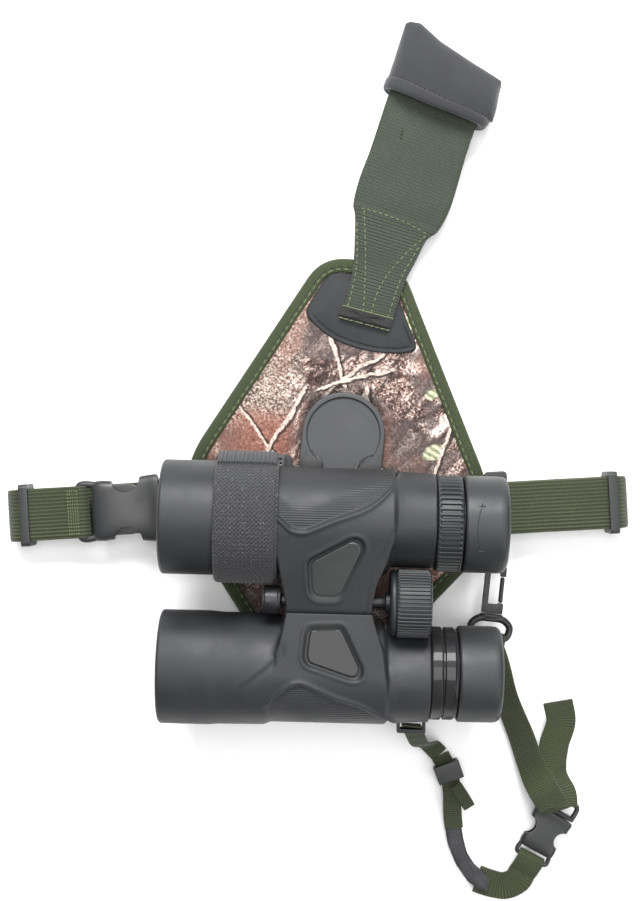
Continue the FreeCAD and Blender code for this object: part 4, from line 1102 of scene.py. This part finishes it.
def cover_angles(axis, count):
    fine = np.linspace(-math.pi, math.pi, 2880, endpoint=False)
    reach = hull_reach(axis, fine, 25.2)
    line = np.stack([-reach * np.sin(fine), reach * np.cos(fine)], 1)
    far = distances(line)
    return np.interp(np.linspace(0, far[-1], count, endpoint=False), far, fine)


def sculpted_barrel(name, axis, pocket, left_wall, right_wall, relief, body, replaced):
    """A barrel's rubber armour with the cover that joins it to the hinge.
    Each row runs round the barrel; the walls of the cover follow left_wall and right_wall,
    given as (y, x), so that their edges are clean curves."""
    angles = cover_angles(axis, 380)
    cover = np.minimum(hull_reach(axis, angles, 25.2), pocket_reach(axis, angles, pocket))
    y = axis[0] - cover * np.sin(angles)
    x_left = np.interp(y, *np.array(sorted(left_wall)).T)
    x_right = np.interp(y, *np.array(sorted(right_wall)).T)
    to_hinge = math.atan2(axis[0] - HINGE_AXIS[0], HINGE_AXIS[1] - axis[1])
    off = np.abs(np.arctan2(np.sin(angles - to_hinge), np.cos(angles - to_hinge)))
    by_wheel = 1 - smoothstep(math.radians(38), math.radians(80), off)
    px, pr = np.array(BARREL_PROFILE).T

    def bare(x):
        radius = np.interp(x, px, pr)
        near = by_wheel * smoothstep(23, 25, x)
        return radius * (1 - near) + NECK_BY_WHEEL * near

    rows = []
    spans = ((px[0], x_left - 1.3, 56, 0, 0), (x_left - 1.3, x_left + 0.9, 8, 0, 1),
             (x_left + 0.9, x_right - 0.9, 96, 1, 1), (x_right - 0.9, x_right + 1.3, 8, 1, 0),
             (x_right + 1.3, px[-1], 30, 0, 0))
    for number, (low, high, count, share_low, share_high) in enumerate(spans):
        for t in np.linspace(0, 1, count, endpoint=number == len(spans) - 1):
            if number == 0:
                t = t ** CROWDED_AT_RIM
            x = low + (high - low) * t + 0 * angles
            share = share_low + (share_high - share_low) * smoothstep(0, 1, t)
            radius = bare(x) * (1 - share) + np.maximum(cover, 0) * share
            rows.append((x, radius, share))
    xs = np.array([r[0] for r in rows])
    radii = np.array([r[1] for r in rows])
    flat_y = axis[0] - radii * np.sin(angles)
    change, grip = relief(xs, flat_y, np.degrees(angles)[None] + 0 * xs)
    radii = radii + change
    for x, r in BARREL_INSIDE:
        xs = np.vstack([xs, np.full(angles.shape, x)])
        radii = np.vstack([radii, np.full(angles.shape, r)])
        grip = np.vstack([grip, np.zeros(angles.shape)])
    points = np.dstack([xs, axis[0] - radii * np.sin(angles), axis[1] + radii * np.cos(angles)])
    faces = grid_faces(len(xs), len(angles), True, True)
    weave = np.dstack([points[..., 1], xs, grip]).reshape(-1, 3)
    return make(name, BINOCULAR(points.reshape(-1, 3)), faces, body, "armour", replaced, 180,
                weave)


def grip_relief(below, angles, x, ends):
    """A lip along the edge of a finger recess; below is the distance into the recess."""
    shown = smoothstep(ends[0], ends[0] + 4, x) * (1 - smoothstep(ends[1] - 6, ends[1], x))
    shown = shown * smoothstep(-158, -118, angles) * (1 - smoothstep(118, 158, angles))
    recess = -1.25 * smoothstep(0.1, 2.0, below)
    lip = 0.75 * np.exp(-((below + 0.5) / 1.1) ** 2)
    ribs = smoothstep(1.4, 3.0, below) * (1 - smoothstep(8.0, 13.0, below)) * shown
    return (recess + lip) * shown, ribs


UPPER_LIP = [(-30, 5.5), (-25.9, 1.9), (-20.3, -3.2), (-17, -4.3), (-13, -4.2), (-1, 1.0),
             (10, 5.0), (15.1, 7.6), (20, 11.5), (24.2, 15.8), (27.2, 21.5), (30, 30)]
UPPER_BADGE = [(-11.6, -17.6), (-10.6, -31.8), (-7.8, -34.0), (0.6, -34.0), (3.0, -32.6),
               (12.2, -11.6), (11.4, -8.0), (7.6, -6.8)]
LOWER_BADGE = [(-11.4, -47.6), (2.9, -46.8), (4.4, -47.8), (13.2, -65.6), (11.8, -69.2),
               (8.8, -69.6), (-11.2, -63.2), (-12.6, -60.2)]
LOWER_LIP = [(-30, -84), (-26, -79), (-22.7, -76.1), (-18.1, -73.0), (-14.5, -72.2),
             (-10.9, -73.2), (1.2, -78.4), (13.3, -82.3), (23, -87.4), (30, -92)]


def badge_recess(outline, x, y, upward, depth):
    rows = (x > -18) & (x < 18) & upward
    gap = np.full(x.shape, -9.0)
    gap[rows] = gap_to(even(soften(outline, 2.2), 90), x[rows], y[rows])
    sink = -depth * smoothstep(-1.3, 0.2, gap)
    rim = 0.30 * np.exp(-((gap + 2.0) / 0.8) ** 2)
    return sink + rim


def upper_relief(x, y, angles):
    below = y - np.interp(x, *np.array(UPPER_LIP).T)
    change, ribs = grip_relief(below, angles, x, (-31, 33))
    upward = (angles > -60) & (angles < 110)
    change = change + badge_recess(UPPER_BADGE, x, y, upward, 1.5)
    crease = np.interp(y, (-40, -27, -17.7, -6.4, 0), (16.0, 17.6, 21.0, 26.6, 29.0))
    fold = -0.5 * np.exp(-((x - crease + 2.4) / 0.9) ** 2)
    change = change + fold * ((angles > 5) & (angles < 100))
    return change, ribs


def lower_relief(x, y, angles):
    below = np.interp(x, *np.array(LOWER_LIP).T) - y
    change, ribs = grip_relief(below, angles, x, (-31, 33))
    upward = (angles > -110) & (angles < 60)
    change = change + badge_recess(LOWER_BADGE, x, y, upward, 1.3)
    sweep = np.interp(y, (-76, -69.7, -64, -59.9, -52), (-44, -36.4, -29.5, -26.2, -25))
    fade = smoothstep(-78, -68, y) * (1 - smoothstep(-58, -52, y)) * (x < -20)
    change = change + 0.55 * np.exp(-((x - sweep) / 1.3) ** 2) * fade
    change = change - 0.45 * np.exp(-((x - sweep - 3.2) / 1.6) ** 2) * fade
    return change, ribs


def build_barrels():
    sculpted_barrel("right_armour", UPPER_AXIS, 1.0e-3,
                    [(-60, -21), (-37.7, -22), (-23.6, -24.7), (-12.7, -26.6), (0, -27)],
                    [(-60, 17), (-37.4, 17.7), (-27.2, 19.4), (-17.7, 23.2), (-6.4, 26)],
                    upper_relief, "binocular", ("right_barrel", "right_neck"))
    sculpted_barrel("left_armour", LOWER_AXIS, 10.3,
                    [(-100, -27), (-69.7, -26), (-59.9, -25.4), (-49.4, -23.4), (-38, -21.4)],
                    [(-100, 25), (-70.3, 24.6), (-56.1, 22.6), (-43.6, 18.6), (-38, 17.6)],
                    lower_relief, "left_half", ("left_barrel",))


def surface_height(axis, y, pocket=1e-3):
    angles = np.linspace(-math.pi / 2, math.pi / 2, 721)
    cover = np.minimum(hull_reach(axis, angles, 25.2), pocket_reach(axis, angles, pocket))
    ys, zs = axis[0] - cover * np.sin(angles), axis[1] + cover * np.cos(angles)
    order = np.argsort(ys)
    return np.interp(y, ys[order], zs[order])


def build_badges():
    """Blank name plates, set into the two covers."""
    for name, axis, outline, lift, body, slot in (
            ("upper_badge", UPPER_AXIS, UPPER_BADGE, -0.55, "binocular", "receptacle_plastic"),
            ("lower_badge", LOWER_AXIS, LOWER_BADGE, -0.55, "left_half", "gloss_plastic")):
        centre = np.mean(outline, 0)
        smaller = centre + (np.array(outline) - centre) * 0.925
        line = even(soften(smaller, 2.2), 140)

        def height(gap, x, y, axis=axis, lift=lift):
            return surface_height(axis, y) + lift - 0.35 * (1 - smoothstep(0, 0.45, gap))

        def under(gap, x, y, axis=axis):
            return surface_height(axis, y) - 1.9

        piece = puffed(name, line, 26, height, body, slot, low=under, place=BINOCULAR, sharp=40)
        if name == "upper_badge":
            piece.data.materials[0] = BADGE_GREY


# ---------------------------------------------------------------- eyepieces, wheel and optics
def ribbed(count, depth, low, high, edge=0.9):
    def dent(x, angle, radius):
        tooth = smoothstep(-0.35, 0.45, np.cos(angle * count))
        span = smoothstep(low, low + edge, x) * (1 - smoothstep(high - edge, high, x))
        return depth * (1 - tooth) * span * (radius > radius.max() - 1.6)
    return dent


def ring_profile(low, high, inner, outer, chamfer, count=80):
    corners = [(low, inner), (low, outer - chamfer), (low + chamfer * 0.4, outer - 0.4 * chamfer),
               (low + chamfer, outer), (high - chamfer, outer),
               (high - 0.4 * chamfer, outer - 0.4 * chamfer), (high, outer - chamfer),
               (high, inner)]
    return even(corners, count)


def build_rings():
    turned("dioptre_grip", ring_profile(44.9, 56.7, 17.7, 21.9, 0.9), UPPER_AXIS, "dioptre",
           "eyecup_rubber", ("dioptre_ring",), 52 * 12, ribbed(52, 0.95, 45.6, 56.0), 60)
    collar = [(44.5, 17.5), (44.5, 20.6), (45.2, 21.3), (49.6, 21.3), (50.0, 20.9), (50.1, 20.2),
              (50.8, 20.2), (50.9, 20.9), (51.3, 21.2), (55.4, 21.2), (55.8, 20.6),
              (56.8, 20.5), (56.8, 17.5)]
    turned("ocular_collar", even(collar, 110), LOWER_AXIS, "left_half", "gloss_plastic",
           ("left_ocular_ring",), 200)
    wheel = [(25.0, 5.2), (25.0, 13.6), (25.5, 14.5), (26.3, 14.9), (27.3, 14.9), (27.5, 14.4),
             (28.0, 14.4), (28.2, 15.2), (28.8, 15.6), (42.4, 15.6), (43.2, 15.2), (43.6, 14.2),
             (43.6, 11.4), (42.6, 11.0), (42.4, 8.0), (43.4, 7.4), (43.6, 5.2)]
    turned("focus_grip", even(wheel, 120), HINGE_AXIS, "focus", "eyecup_rubber",
           ("focus_wheel",), 52 * 10, ribbed(52, 0.75, 28.2, 43.0, 0.7), 60)
    for side, axis, body in (("right", UPPER_AXIS, "right_cup"), ("left", LOWER_AXIS, "left_cup")):
        cup = [(57.4, 17.7), (57.4, 21.0), (57.8, 21.7), (58.6, 22.0), (73.4, 22.0),
               (75.2, 21.8), (76.5, 21.1), (77.2, 19.9), (77.4, 18.4), (77.2, 16.9),
               (76.4, 16.0), (75.0, 15.7), (69.8, 15.7), (69.8, 17.6)]
        turned(side + "_eyecup_rubber", even(cup, 110), axis, body, "eyecup_rubber",
               (side + "_eyecup",), 160)


def build_lenses():
    for side, axis, body in (("right", UPPER_AXIS, "binocular"), ("left", LOWER_AXIS, "left_half")):
        glass = [(-72.0 - 1.0 * math.cos(t * math.pi / 2), 22.28 * math.sin(t * math.pi / 2))
                 for t in np.linspace(0.01, 1, 24)]
        glass += [(-68.0, 22.28), (-68.0, 0.3)]
        turned(side + "_front_glass", glass, axis, body, "lens", (side + "_objective_lens",), 96)
        ocular = [(60.0, 0.2), (60.0, 13.9), (64.2, 13.9)]
        ocular += [(64.2 + 0.8 * math.cos(t * math.pi / 2), 13.9 * math.sin(t * math.pi / 2))
                   for t in np.linspace(1, 0.01, 20)]
        turned(side + "_eye_glass", ocular, axis, body, "lens", (side + "_eyepiece_lens",), 96)
        moulded(side + "_prism", body, "prism_glass", 0.5)
        tube = [(20.0, 13.2), (20.0, 21.6), (20.4, 21.9), (23.6, 21.9), (24.0, 21.5),
                (24.2, 17.5), (68.6, 17.35), (69.0, 16.9), (69.0, 14.4), (68.6, 14.0),
                (58.0, 14.0), (57.6, 13.6), (56.0, 13.6), (55.6, 14.0), (24.0, 14.0),
                (23.6, 13.4)]
        turned(side + "_eyepiece_barrel", even(tube, 160), axis, body, "black_metal",
               (side + "_eyepiece_tube",), 120)


def build_hinge_ends():
    shaft = [(-24.0, 0.2), (-24.0, 2.6), (-23.6, 2.95), (23.0, 2.95), (23.2, 4.9), (24.6, 4.9),
             (43.8, 4.9), (44.5, 4.4), (44.7, 3.2), (44.2, 2.6), (44.2, 0.2)]
    turned("hinge_pin", even(shaft, 90), HINGE_AXIS, "binocular", "black_metal",
           ("hinge_shaft",), 72)
    socket = [(-32.0, 2.75), (-32.0, 5.4), (-31.6, 6.2), (-30.8, 6.5), (-25.4, 6.5), (-25.0, 6.2),
              (-24.2, 6.4), (-24.1, 2.6)]
    lines = even(socket, 90)
    turned("tripod_boss", lines, HINGE_AXIS, "binocular", "black_metal", ("tripod_socket",), 96,
           lambda x, angle, radius: 0.14 * (radius < 3.2) * np.cos(
               FULL_TURN * x / 1.27 + angle))


def build_eyecup_marks():
    """A raised index arc with a tick at each end, on the adjustable eyecup."""
    turn = np.radians(np.linspace(-22, 28, 60))
    x = 62.4 + 1.6 * ((np.degrees(turn) - 3) / 25) ** 2
    r = 22.02
    lines = [np.column_stack([x, UPPER_AXIS[0] - r * np.sin(turn),
                              UPPER_AXIS[1] + r * np.cos(turn)])]
    for at in (-24, 30):
        a = math.radians(at)
        r = 22.05
        y, z = UPPER_AXIS[0] - r * math.sin(a), UPPER_AXIS[1] + r * math.cos(a)
        lines.append(np.array([(63.2, y, z), (65.4, y, z)]))
        lines.append(np.array([(64.3, y - 0.9, z), (64.3, y + 0.9, z)]))
    stitches("eyecup_marks", lines[:1], "right_cup", "eyecup_rubber", 1.0, 1.3, 0.22,
             BINOCULAR)
    stitches("eyecup_ticks", lines[1:], "right_cup", "eyecup_rubber", 2.2, 2.2, 0.28,
             BINOCULAR)


# ---------------------------------------------------------------- mount and its strap
def around_barrel(radius, first, last, leg=0.0):
    """Points of a band about the upper barrel, between two angles from its top."""
    turns = np.radians(np.linspace(first, last, 26))
    y, z = UPPER_AXIS
    points = [(y - radius * math.sin(a), z + radius * math.cos(a)) for a in turns]
    if leg:
        points = ([(y - (radius - leg) * math.sin(turns[0]), 23.0)] + points
                  + [(y - (radius - leg) * math.sin(turns[-1]), 23.0)])
    return points


def band(name, points, middle, width, thick, slot, replaced=(), **looks):
    stations = [(middle, y, z, width, 1, 0, 0) for y, z in points]
    return strap(name, stations, thick, "binocular", slot, replaced, BINOCULAR, **looks)


def build_mount_strap():
    band("wrap_strap", around_barrel(27.1, -90, 90, 2.0), -40.0, 28.0, 1.5, "hook_loop",
         ("hook_loop_strap",), ribs=(1.9, 0.05), seed=21)
    band("wrap_overlap", around_barrel(28.6, -66, 116), -40.8, 27.0, 1.4, "hook_loop",
         ribs=(1.9, 0.07), seed=22)
    band("wrap_pull", around_barrel(30.0, -94, -58), -40.4, 26.4, 1.5, "elastic",
         ribs=(2.0, 0.0), ridges=(1.9, 0.32), seed=23, columns=90)
    moulded("strap_keeper", "binocular", "elastic", 0.5)


def top_of(node, x, y):
    """The height of a CAD piece's upper face at a point, all in millimetres."""
    best = 0.0
    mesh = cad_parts[node].data
    for face in mesh.polygons:
        if face.normal.z > 0.7:
            ring = np.array([mesh.vertices[i].co for i in face.vertices]) / MM
            low, high = ring.min(0), ring.max(0)
            if low[0] <= x <= high[0] and low[1] <= y <= high[1]:
                best = max(best, float(ring[:, 2].mean()))
    return best


def build_receptacle():
    moulded("receptacle_plate", "harness", "receptacle_plastic", 0.55, 3)
    # Painted shade: at each rail's rounded top end a flattened bar of black plastic, sunk into the
    # plate, stands in for the shadow of the undercut beneath it.
    for side, points in (("left", [(-17.4, 29.6), (-14.6, 30.0), (-11.8, 28.0), (-9.4, 24.6),
                                   (-8.6, 21.0)]),
                         ("right", [(18.6, 31.2), (14.6, 31.4), (11.4, 29.6), (8.8, 26.4),
                                    (7.2, 22.6)])):
        path = [(x, y, top_of("receptacle_plate", x, y) - 0.35) for x, y in points]
        bar(side + "_plate_shadow_strip", path, 1.15, "harness", "black_plastic", WORLD, flat=0.45)
        lit = [(x * 0.985, y - 1.5, z + 0.1) for x, y, z in path]
        bar(side + "_plate_lip", lit, 0.4, "harness", "receptacle_plastic", WORLD)
    moulded("receptacle_rails", "harness", "black_plastic", 0.5, 2)
    moulded("hub", "binocular", "black_plastic", 0.5, 2)
    moulded("bracket", "binocular", "black_plastic", 0.9, 3)


# ---------------------------------------------------------------- belts and their hardware
def belt(name, path, body, slot, replaced, place, width=25.0, **looks):
    stations = [(x, 0, z, width, 0, 1, 0) for x, z in path]
    return strap(name, stations, 1.4, body, slot, replaced, place, columns=70, step=0.35,
                 ribs=(0.95, 0.03), ridges=(1.78, 0.13), **looks)


def build_belts():
    belt("left_belt_strap",
         [(-29.5, -4.6), (-22, -3.4), (-17.4, -2.2), (-15.5, 0.1), (-17.2, 2.3), (-21, 2.6),
          (-28, 1.4), (-36, 0.7), (-47, 0.6), (-51.5, -0.9), (-54.4, -6.1), (-51.5, -11.3),
          (-45, -12.6), (-30, -12.6), (0, -12.6), (40, -12.6), (78, -12.6)],
         "left_belt_unit", "belt_webbing", ("left_belt",), LEFT_BELT, seed=31)
    belt("right_belt_strap",
         [(16, -3.4), (8, -2.9), (3.6, -2.1), (1.5, 0.1), (3.2, 2.2), (8, 2.4), (20, 1.0),
          (40, 0.7), (56, 0.6), (60.5, -0.9), (63.4, -6.1), (60.5, -11.3), (54, -12.6),
          (30, -12.6), (0, -12.6), (-56, -12.6)],
         "harness", "belt_webbing", ("right_belt",), RIGHT_BELT, seed=32)
    for name, path, place, seed in (
            ("left_anchor_webbing", [(58, -3.0), (46, -2.2), (36, -1.2), (31.4, 1.9),
                                     (28.6, 0.2), (30.6, -1.9), (38, -2.7), (50, -4.2),
                                     (58, -5.0)], LEFT_BELT, 33),
            ("right_anchor_webbing", [(-38, -2.0), (-22, -0.8), (-9, 1.0), (-4.2, 1.9),
                                      (-2.1, 0.0), (-4.2, -1.9), (-12, -2.6), (-30, -4.0),
                                      (-38, -4.2)], RIGHT_BELT, 34)):
        belt(name + "_strap", path, "harness", "belt_webbing", (name,), place, seed=seed)


def checker_stitching():
    """The bright zigzag bar tack over the left belt's folded end."""
    lines = []
    for x in np.arange(-24.6, -19.9, 1.15):
        lines.append([(x, y, 2.9 + 0.1 * (x + 24.6)) for y in np.linspace(-11, 11, 40)])
    stitches("left_belt_tack", lines, "left_belt_unit", "belt_webbing", 1.5, 1.1, 0.22,
             LEFT_BELT, PALE_THREAD)


def superellipse(half_y, half_z, power, count):
    turn = np.linspace(0, FULL_TURN, count, endpoint=False)
    c, s = np.cos(turn), np.sin(turn)
    y = half_y * np.sign(c) * np.abs(c) ** (2 / power)
    z = half_z * np.sign(s) * np.abs(s) ** (2 / power)
    return y, z


def loft(name, stations, body, slot, replaced, place, power=3.2, count=96, bow=0.0):
    """A closed skin through the sections (x, half width, half height)."""
    rows = []
    for x, half_y, half_z in stations:
        y, z = superellipse(half_y, half_z, power, count)
        rows.append(np.column_stack([x + bow * (y / 16) ** 2 * (x > 8), y, z]))
    grid = np.array(rows)
    faces = tube_faces(len(rows), count)
    return make(name, place(grid.reshape(-1, 3)), faces, body, slot, replaced, 50)


def cut_away(piece, outlines, place, low=-9, high=9):
    """Removes the prisms over the outlines from a piece."""
    for outline in outlines:
        line = np.array(outline, float)
        count = len(line)
        points = np.vstack([np.column_stack([line, np.full(count, float(z))])
                            for z in (low, high)])
        faces = [[i, (i + 1) % count, count + (i + 1) % count, count + i]
                 for i in range(count)]
        faces += [list(range(count))[::-1], list(range(count, 2 * count))]
        mesh = bpy.data.meshes.new("cutter")
        mesh.from_pydata((place(points) * MM).tolist(), [], faces)
        tidy_mesh(mesh, 180)
        cutter = bpy.data.objects.new("cutter", mesh)
        bpy.context.scene.collection.objects.link(cutter)
        change = piece.modifiers.new("cut", "BOOLEAN")
        change.operation, change.object, change.solver = "DIFFERENCE", cutter, "EXACT"
        bpy.context.view_layer.update()
        ready = piece.evaluated_get(bpy.context.evaluated_depsgraph_get())
        cut = bpy.data.meshes.new_from_object(ready)
        piece.modifiers.clear()
        cut.name = piece.name
        piece.data = cut
        bpy.data.objects.remove(cutter, do_unlink=True)
    piece.data.set_sharp_from_angle(angle=math.radians(40))


def bulge(x0, x1, start, deep, sign, count=24):
    """An opening in the side of a buckle, its inner edge curved."""
    x = np.linspace(x0, x1, count)
    t = np.linspace(0, 1, count)
    y = start - deep * np.sqrt(np.maximum(0, 1 - (2 * t - 1) ** 2))
    line = np.column_stack([x, sign * y])
    return np.vstack([line, [(x1, sign * 30), (x0, sign * 30)]])[::int(sign)]


def bar(name, path, radius, body, slot, place, replaced=(), flat=1.0):
    """A rounded bar swept along a path of (x, y, z)."""
    line = even(curved(np.array(path, float), 10), 90, closed=False)
    tangent = np.gradient(line, axis=0)
    tangent /= np.linalg.norm(tangent, axis=1)[:, None]
    side = np.cross(tangent, (0, 0, 1.0))
    side /= np.linalg.norm(side, axis=1)[:, None]
    up = np.cross(side, tangent)
    turn = np.linspace(0, FULL_TURN, 20, endpoint=False)
    grid = (line[:, None] + side[:, None] * (radius * np.cos(turn))[None, :, None]
            + up[:, None] * (radius * flat * np.sin(turn))[None, :, None])
    faces = tube_faces(len(line), len(turn))
    return make(name, place(grid.reshape(-1, 3)), faces, body, slot, replaced, 50)


def scaled(place, size):
    return lambda points: place(np.asarray(points, float) * size)


def build_buckle(prefix, place, female_body, male_body):
    outer = [(-12.6, 9.5, 2.2), (-12.9, 12.2, 3.2), (-12.4, 13.6, 3.9), (-11, 14.4, 4.4),
             (-8, 14.6, 4.9), (-4, 14.2, 5.0), (4, 14.2, 4.8), (8, 14.8, 4.5), (13, 15.7, 4.3),
             (17, 16.1, 4.6), (19, 16.2, 5.0), (20.0, 15.9, 4.9), (20.2, 15.2, 4.4),
             (20.0, 13.2, 3.3), (18, 12.8, 2.9), (-6, 12.6, 2.75), (-6.4, 12.0, 2.4),
             (-6.5, 6, 1.2)]
    shell = loft(prefix + "_female_shell", outer, female_body, "black_plastic",
                 (prefix + "_female",), place, 3.6, 112, -1.3)
    cut_away(shell, [bulge(-4, 10.5, 15.8, 7.4, 1), bulge(-4, 10.5, 15.8, 7.4, -1)], place)
    bar(prefix + "_female_bar", [(-11, -12.4, 0), (-16.5, -13.2, 0), (-19.3, -12.2, 0),
                                 (-19.6, -8, 0), (-19.6, 8, 0), (-19.3, 12.2, 0),
                                 (-16.5, 13.2, 0), (-11, 12.4, 0)], 1.75, female_body,
        "black_plastic", place)
    bar(prefix + "_male_frame", [(22, -14, 0), (30, -14.1, 0), (33, -12.4, 0), (33.2, -8, 0),
                                 (33.2, 8, 0), (33, 12.4, 0), (30, 14.1, 0), (22, 14, 0)], 2.0,
        male_body, "black_plastic", place)
    head = [(20.5, 12, 2.6), (20.6, 14.8, 3.4), (21.0, 15.4, 3.9), (22.6, 15.5, 4.0),
            (23.6, 15.1, 3.7), (24.0, 14.2, 2.8)]
    loft(prefix + "_male_head", head, male_body, "black_plastic", (prefix + "_male",), place,
         4.5, 96)
    loft(prefix + "_male_guide", [(21, 2.0, 1.4), (20, 2.2, 1.7), (-2.5, 2.2, 1.7),
                                  (-3.8, 1.6, 1.2), (-4, 0.8, 0.6)],
         male_body, "black_plastic", (), place, 4.0, 40)


def build_prongs():
    for name, body in (("belt_prong_front", "prong_front"), ("belt_prong_rear", "prong_rear")):
        moulded(name, body, "black_plastic", 0.45, 3)


def build_hardware():
    build_buckle("belt_buckle", LEFT_BELT, "left_belt_unit", "harness")
    build_prongs()
    build_buckle("tether_buckle", scaled(TETHER, 0.62), "harness", "harness")
    for node, body in (("left_slide", "left_belt_unit"), ("right_slide", "harness"),
                       ("belt_ring", "harness"), ("thin_slide", "harness")):
        moulded(node, body, "black_plastic", 0.55, 3)
    for node, body, slot in (("hook_body", "hook", "black_metal"),
                             ("hook_gate", "gate", "black_metal")):
        moulded(node, body, slot, 0.85, 3)
    build_hook_eye()
    build_ring()


def build_hook_eye():
    """The swivel's eye: a rounded loop for the webbing under a thick collar."""
    loop = [(0, -40.9, 0), (-5.4, -41.2, 0), (-8.9, -43.8, 0), (-9.3, -47.0, 0),
            (-7.2, -50.2, 0), (0, -50.9, 0), (7.2, -50.2, 0), (9.3, -47.0, 0),
            (8.9, -43.8, 0), (5.4, -41.2, 0), (0, -40.9, 0)]
    bar("hook_eye_loop", loop, 1.75, "harness", "black_plastic", HOOK, ("hook_eye",), 1.1)
    for number, (low, high, wide) in enumerate(((-41.8, -40.5, 5.0), (-40.3, -38.9, 5.8))):
        stations = [(low, wide - 0.7, 1.9), (low + 0.3, wide, 2.4), (high - 0.3, wide, 2.4),
                    (high, wide - 0.7, 1.9)]
        loft("hook_collar_" + str(number), stations, "harness", "black_plastic", (),
             HOOK_LENGTHWISE, 2.6, 64)


def build_ring():
    turns = np.linspace(0, FULL_TURN, 121)
    centre = np.array([80.35, -9.86, 14.5])
    tube = np.linspace(0, FULL_TURN, 24, endpoint=False)
    grid = np.array([[(np.cos(b) * 0.98,
                       (8.34 + 0.98 * np.sin(b)) * np.cos(a),
                       (8.34 + 0.98 * np.sin(b)) * np.sin(a)) for b in tube]
                     for a in turns[:-1]])
    make("tether_steel_ring", WORLD(grid.reshape(-1, 3) + centre),
         grid_faces(len(turns) - 1, 24, True, True), "harness", "steel", ("tether_ring",), 180)


# ---------------------------------------------------------------- tether
def dropped(stations, thick, width):
    """Stations whose heights were given on the top face."""
    return [(x, y, z - thick / 2, width, ax, ay, az) for x, y, z, ax, ay, az in stations]


def build_tether():
    looks = {"ribs": (0.95, 0.09), "ridges": (1.5, 0.05), "step": 0.3, "columns": 40}
    strap("tether_strap", dropped(
        [(80.2, -58, 14.4, 1, 0, 0), (80.2, -54, 17.0, 1, 0, 0), (80.2, -51, 18.0, 1, 0, 0),
         (80.2, -48.3, 15.4, 1, 0, 0), (80.2, -50.4, 12.4, 1, 0, 0),
         (80.2, -53.4, 12.4, 1, 0, 0), (81.5, -57, 11.4, 1, .1, .05),
         (85.5, -65, 9.4, .85, .3, .35), (92, -79, 8.2, .7, .28, .66),
         (100.5, -95, 8.2, .72, .3, .62), (107.5, -110, 9.4, .75, .3, .5),
         (113.5, -120, 14, .85, .3, .1), (119.5, -128, 13.4, .92, -.2, 0),
         (121.5, -131, 12.6, .92, -.38, 0)], 1.2, 15), 1.2, "harness", "tether_webbing",
        ("tether_webbing",), seed=41, **looks)
    strap("tether_tail_strap", dropped(
        [(124.8, -128.5, 13, .92, -.38, 0), (123.6, -121.5, 10.9, .92, -.38, 0),
         (118.5, -112, 7.6, .88, -.45, 0), (118.2, -100, 7, .98, -.1, 0),
         (120.2, -88.4, 8, 1, .15, 0), (117.3, -78.3, 10, 1, 0, 0)], 1.2, 14.4), 1.2,
        "harness", "tether_webbing", ("tether_tail",), seed=42, **looks)
    start = TETHER(np.array([(-10.3, 0, -0.6), (-10.6, 0, 0.9), (-12.2, 0, 1.85),
                             (-15, 0, 1.3), (-18.5, 0, 0.2)]))
    lead = [(x, y, z, 13.5, .92, -.38, 0) for x, y, z in start]
    strap("tether_stub_strap", lead + dropped(
        [(109, -163.8, 7.4, .92, -.38, 0), (107, -168, 6.8, .8, -.6, 0),
         (101.5, -171.5, 5, .35, -.93, 0), (95, -171.6, 3.2, .1, -1, 0),
         (88, -170, 3.0, 0, -1, 0)], 1.2, 13.5), 1.2,
        "harness", "tether_webbing", ("tether_stub",), seed=43, **looks)
    strap("thin_strap", dropped(
        [(74, -146, 4.8, .98, -.2, 0), (72.6, -139, 4.8, .98, -.15, 0),
         (71.3, -129, 4.6, .96, .2, 0), (68.6, -119, 4.4, .88, .45, 0),
         (63.6, -111.3, 4.6, .75, .66, 0)], 0.9, 9), 0.9, "harness", "tether_webbing",
        ("thin_webbing",), seed=44, **looks)
    strap("thin_end", dropped(
        [(72.4, -124.6, 7.4, .8, .6, 0), (76, -129, 7, .8, .6, 0),
         (80.5, -135, 5.5, .8, .6, 0)], 0.9, 6), 0.9, "harness", "tether_webbing",
        ("thin_end_tab",), seed=45, **looks)
    lug_strap = strap("lug_loop_strap", dropped(
        [(63.2, -110.7, 4.6, .75, .66, 0), (57.5, -106, 9, .9, .43, 0),
         (51.6, -103.4, 23, 1, .15, 0), (45.5, -92.4, 39, 1, .08, 0),
         (44.9, -91, 46, 1, 0, 0), (44.9, -90.6, 50.5, 1, 0, 0)], 0.9, 9), 0.9, None,
        "tether_webbing", ("lug_loop",), seed=46, **looks)
    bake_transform(lug_strap)


def build_leather():
    outline = [(68.4, -141), (77, -142), (79, -150), (82, -158), (87, -164), (94, -168.5),
               (93.5, -176), (84, -172), (77, -164), (72, -154.5)]
    line = even(soften(outline, 1.6), 180)

    def height(gap, x, y):
        lap = 1.7 * smoothstep(80, 88, x)
        return 3.75 + lap - 0.8 * (1 - smoothstep(0, 1.6, gap)) + 0.12 * np.sin(x * 0.8)

    def under(gap, x, y):
        return 1.5 + 1.7 * smoothstep(80, 88, x)

    puffed("leather_keeper", line, 22, height, "harness", "leather", ("leather_tab",),
           low=under, sharp=60)
    smaller = np.mean(line, 0) + (line - np.mean(line, 0)) * 0.8
    hem = np.column_stack([smaller, np.full(len(smaller), 3.8)])
    stitches("leather_stitches", [hem], "harness", "leather", 2.4, 1.6, 0.22)


def paint_carried_over():
    """The CAD shapes that show through here and there get their own materials too."""
    for node, slot in CARRIED_OVER:
        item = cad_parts[node]
        item.data.materials.clear()
        item.data.materials.append(MATERIALS[slot])


CARRIED_OVER = [("left_neck", "armour")]


build_camera()
build_stage()
build_camo()
build_binding()
build_lining()
build_patch()
build_shoulder_strap()
build_strap_seams()
build_strap_tail()
build_pad()
build_anchor()
build_barrels()
build_badges()
build_rings()
build_lenses()
build_hinge_ends()
build_eyecup_marks()
build_mount_strap()
build_receptacle()
build_belts()
checker_stitching()
build_hardware()
build_tether()
build_leather()
paint_carried_over()
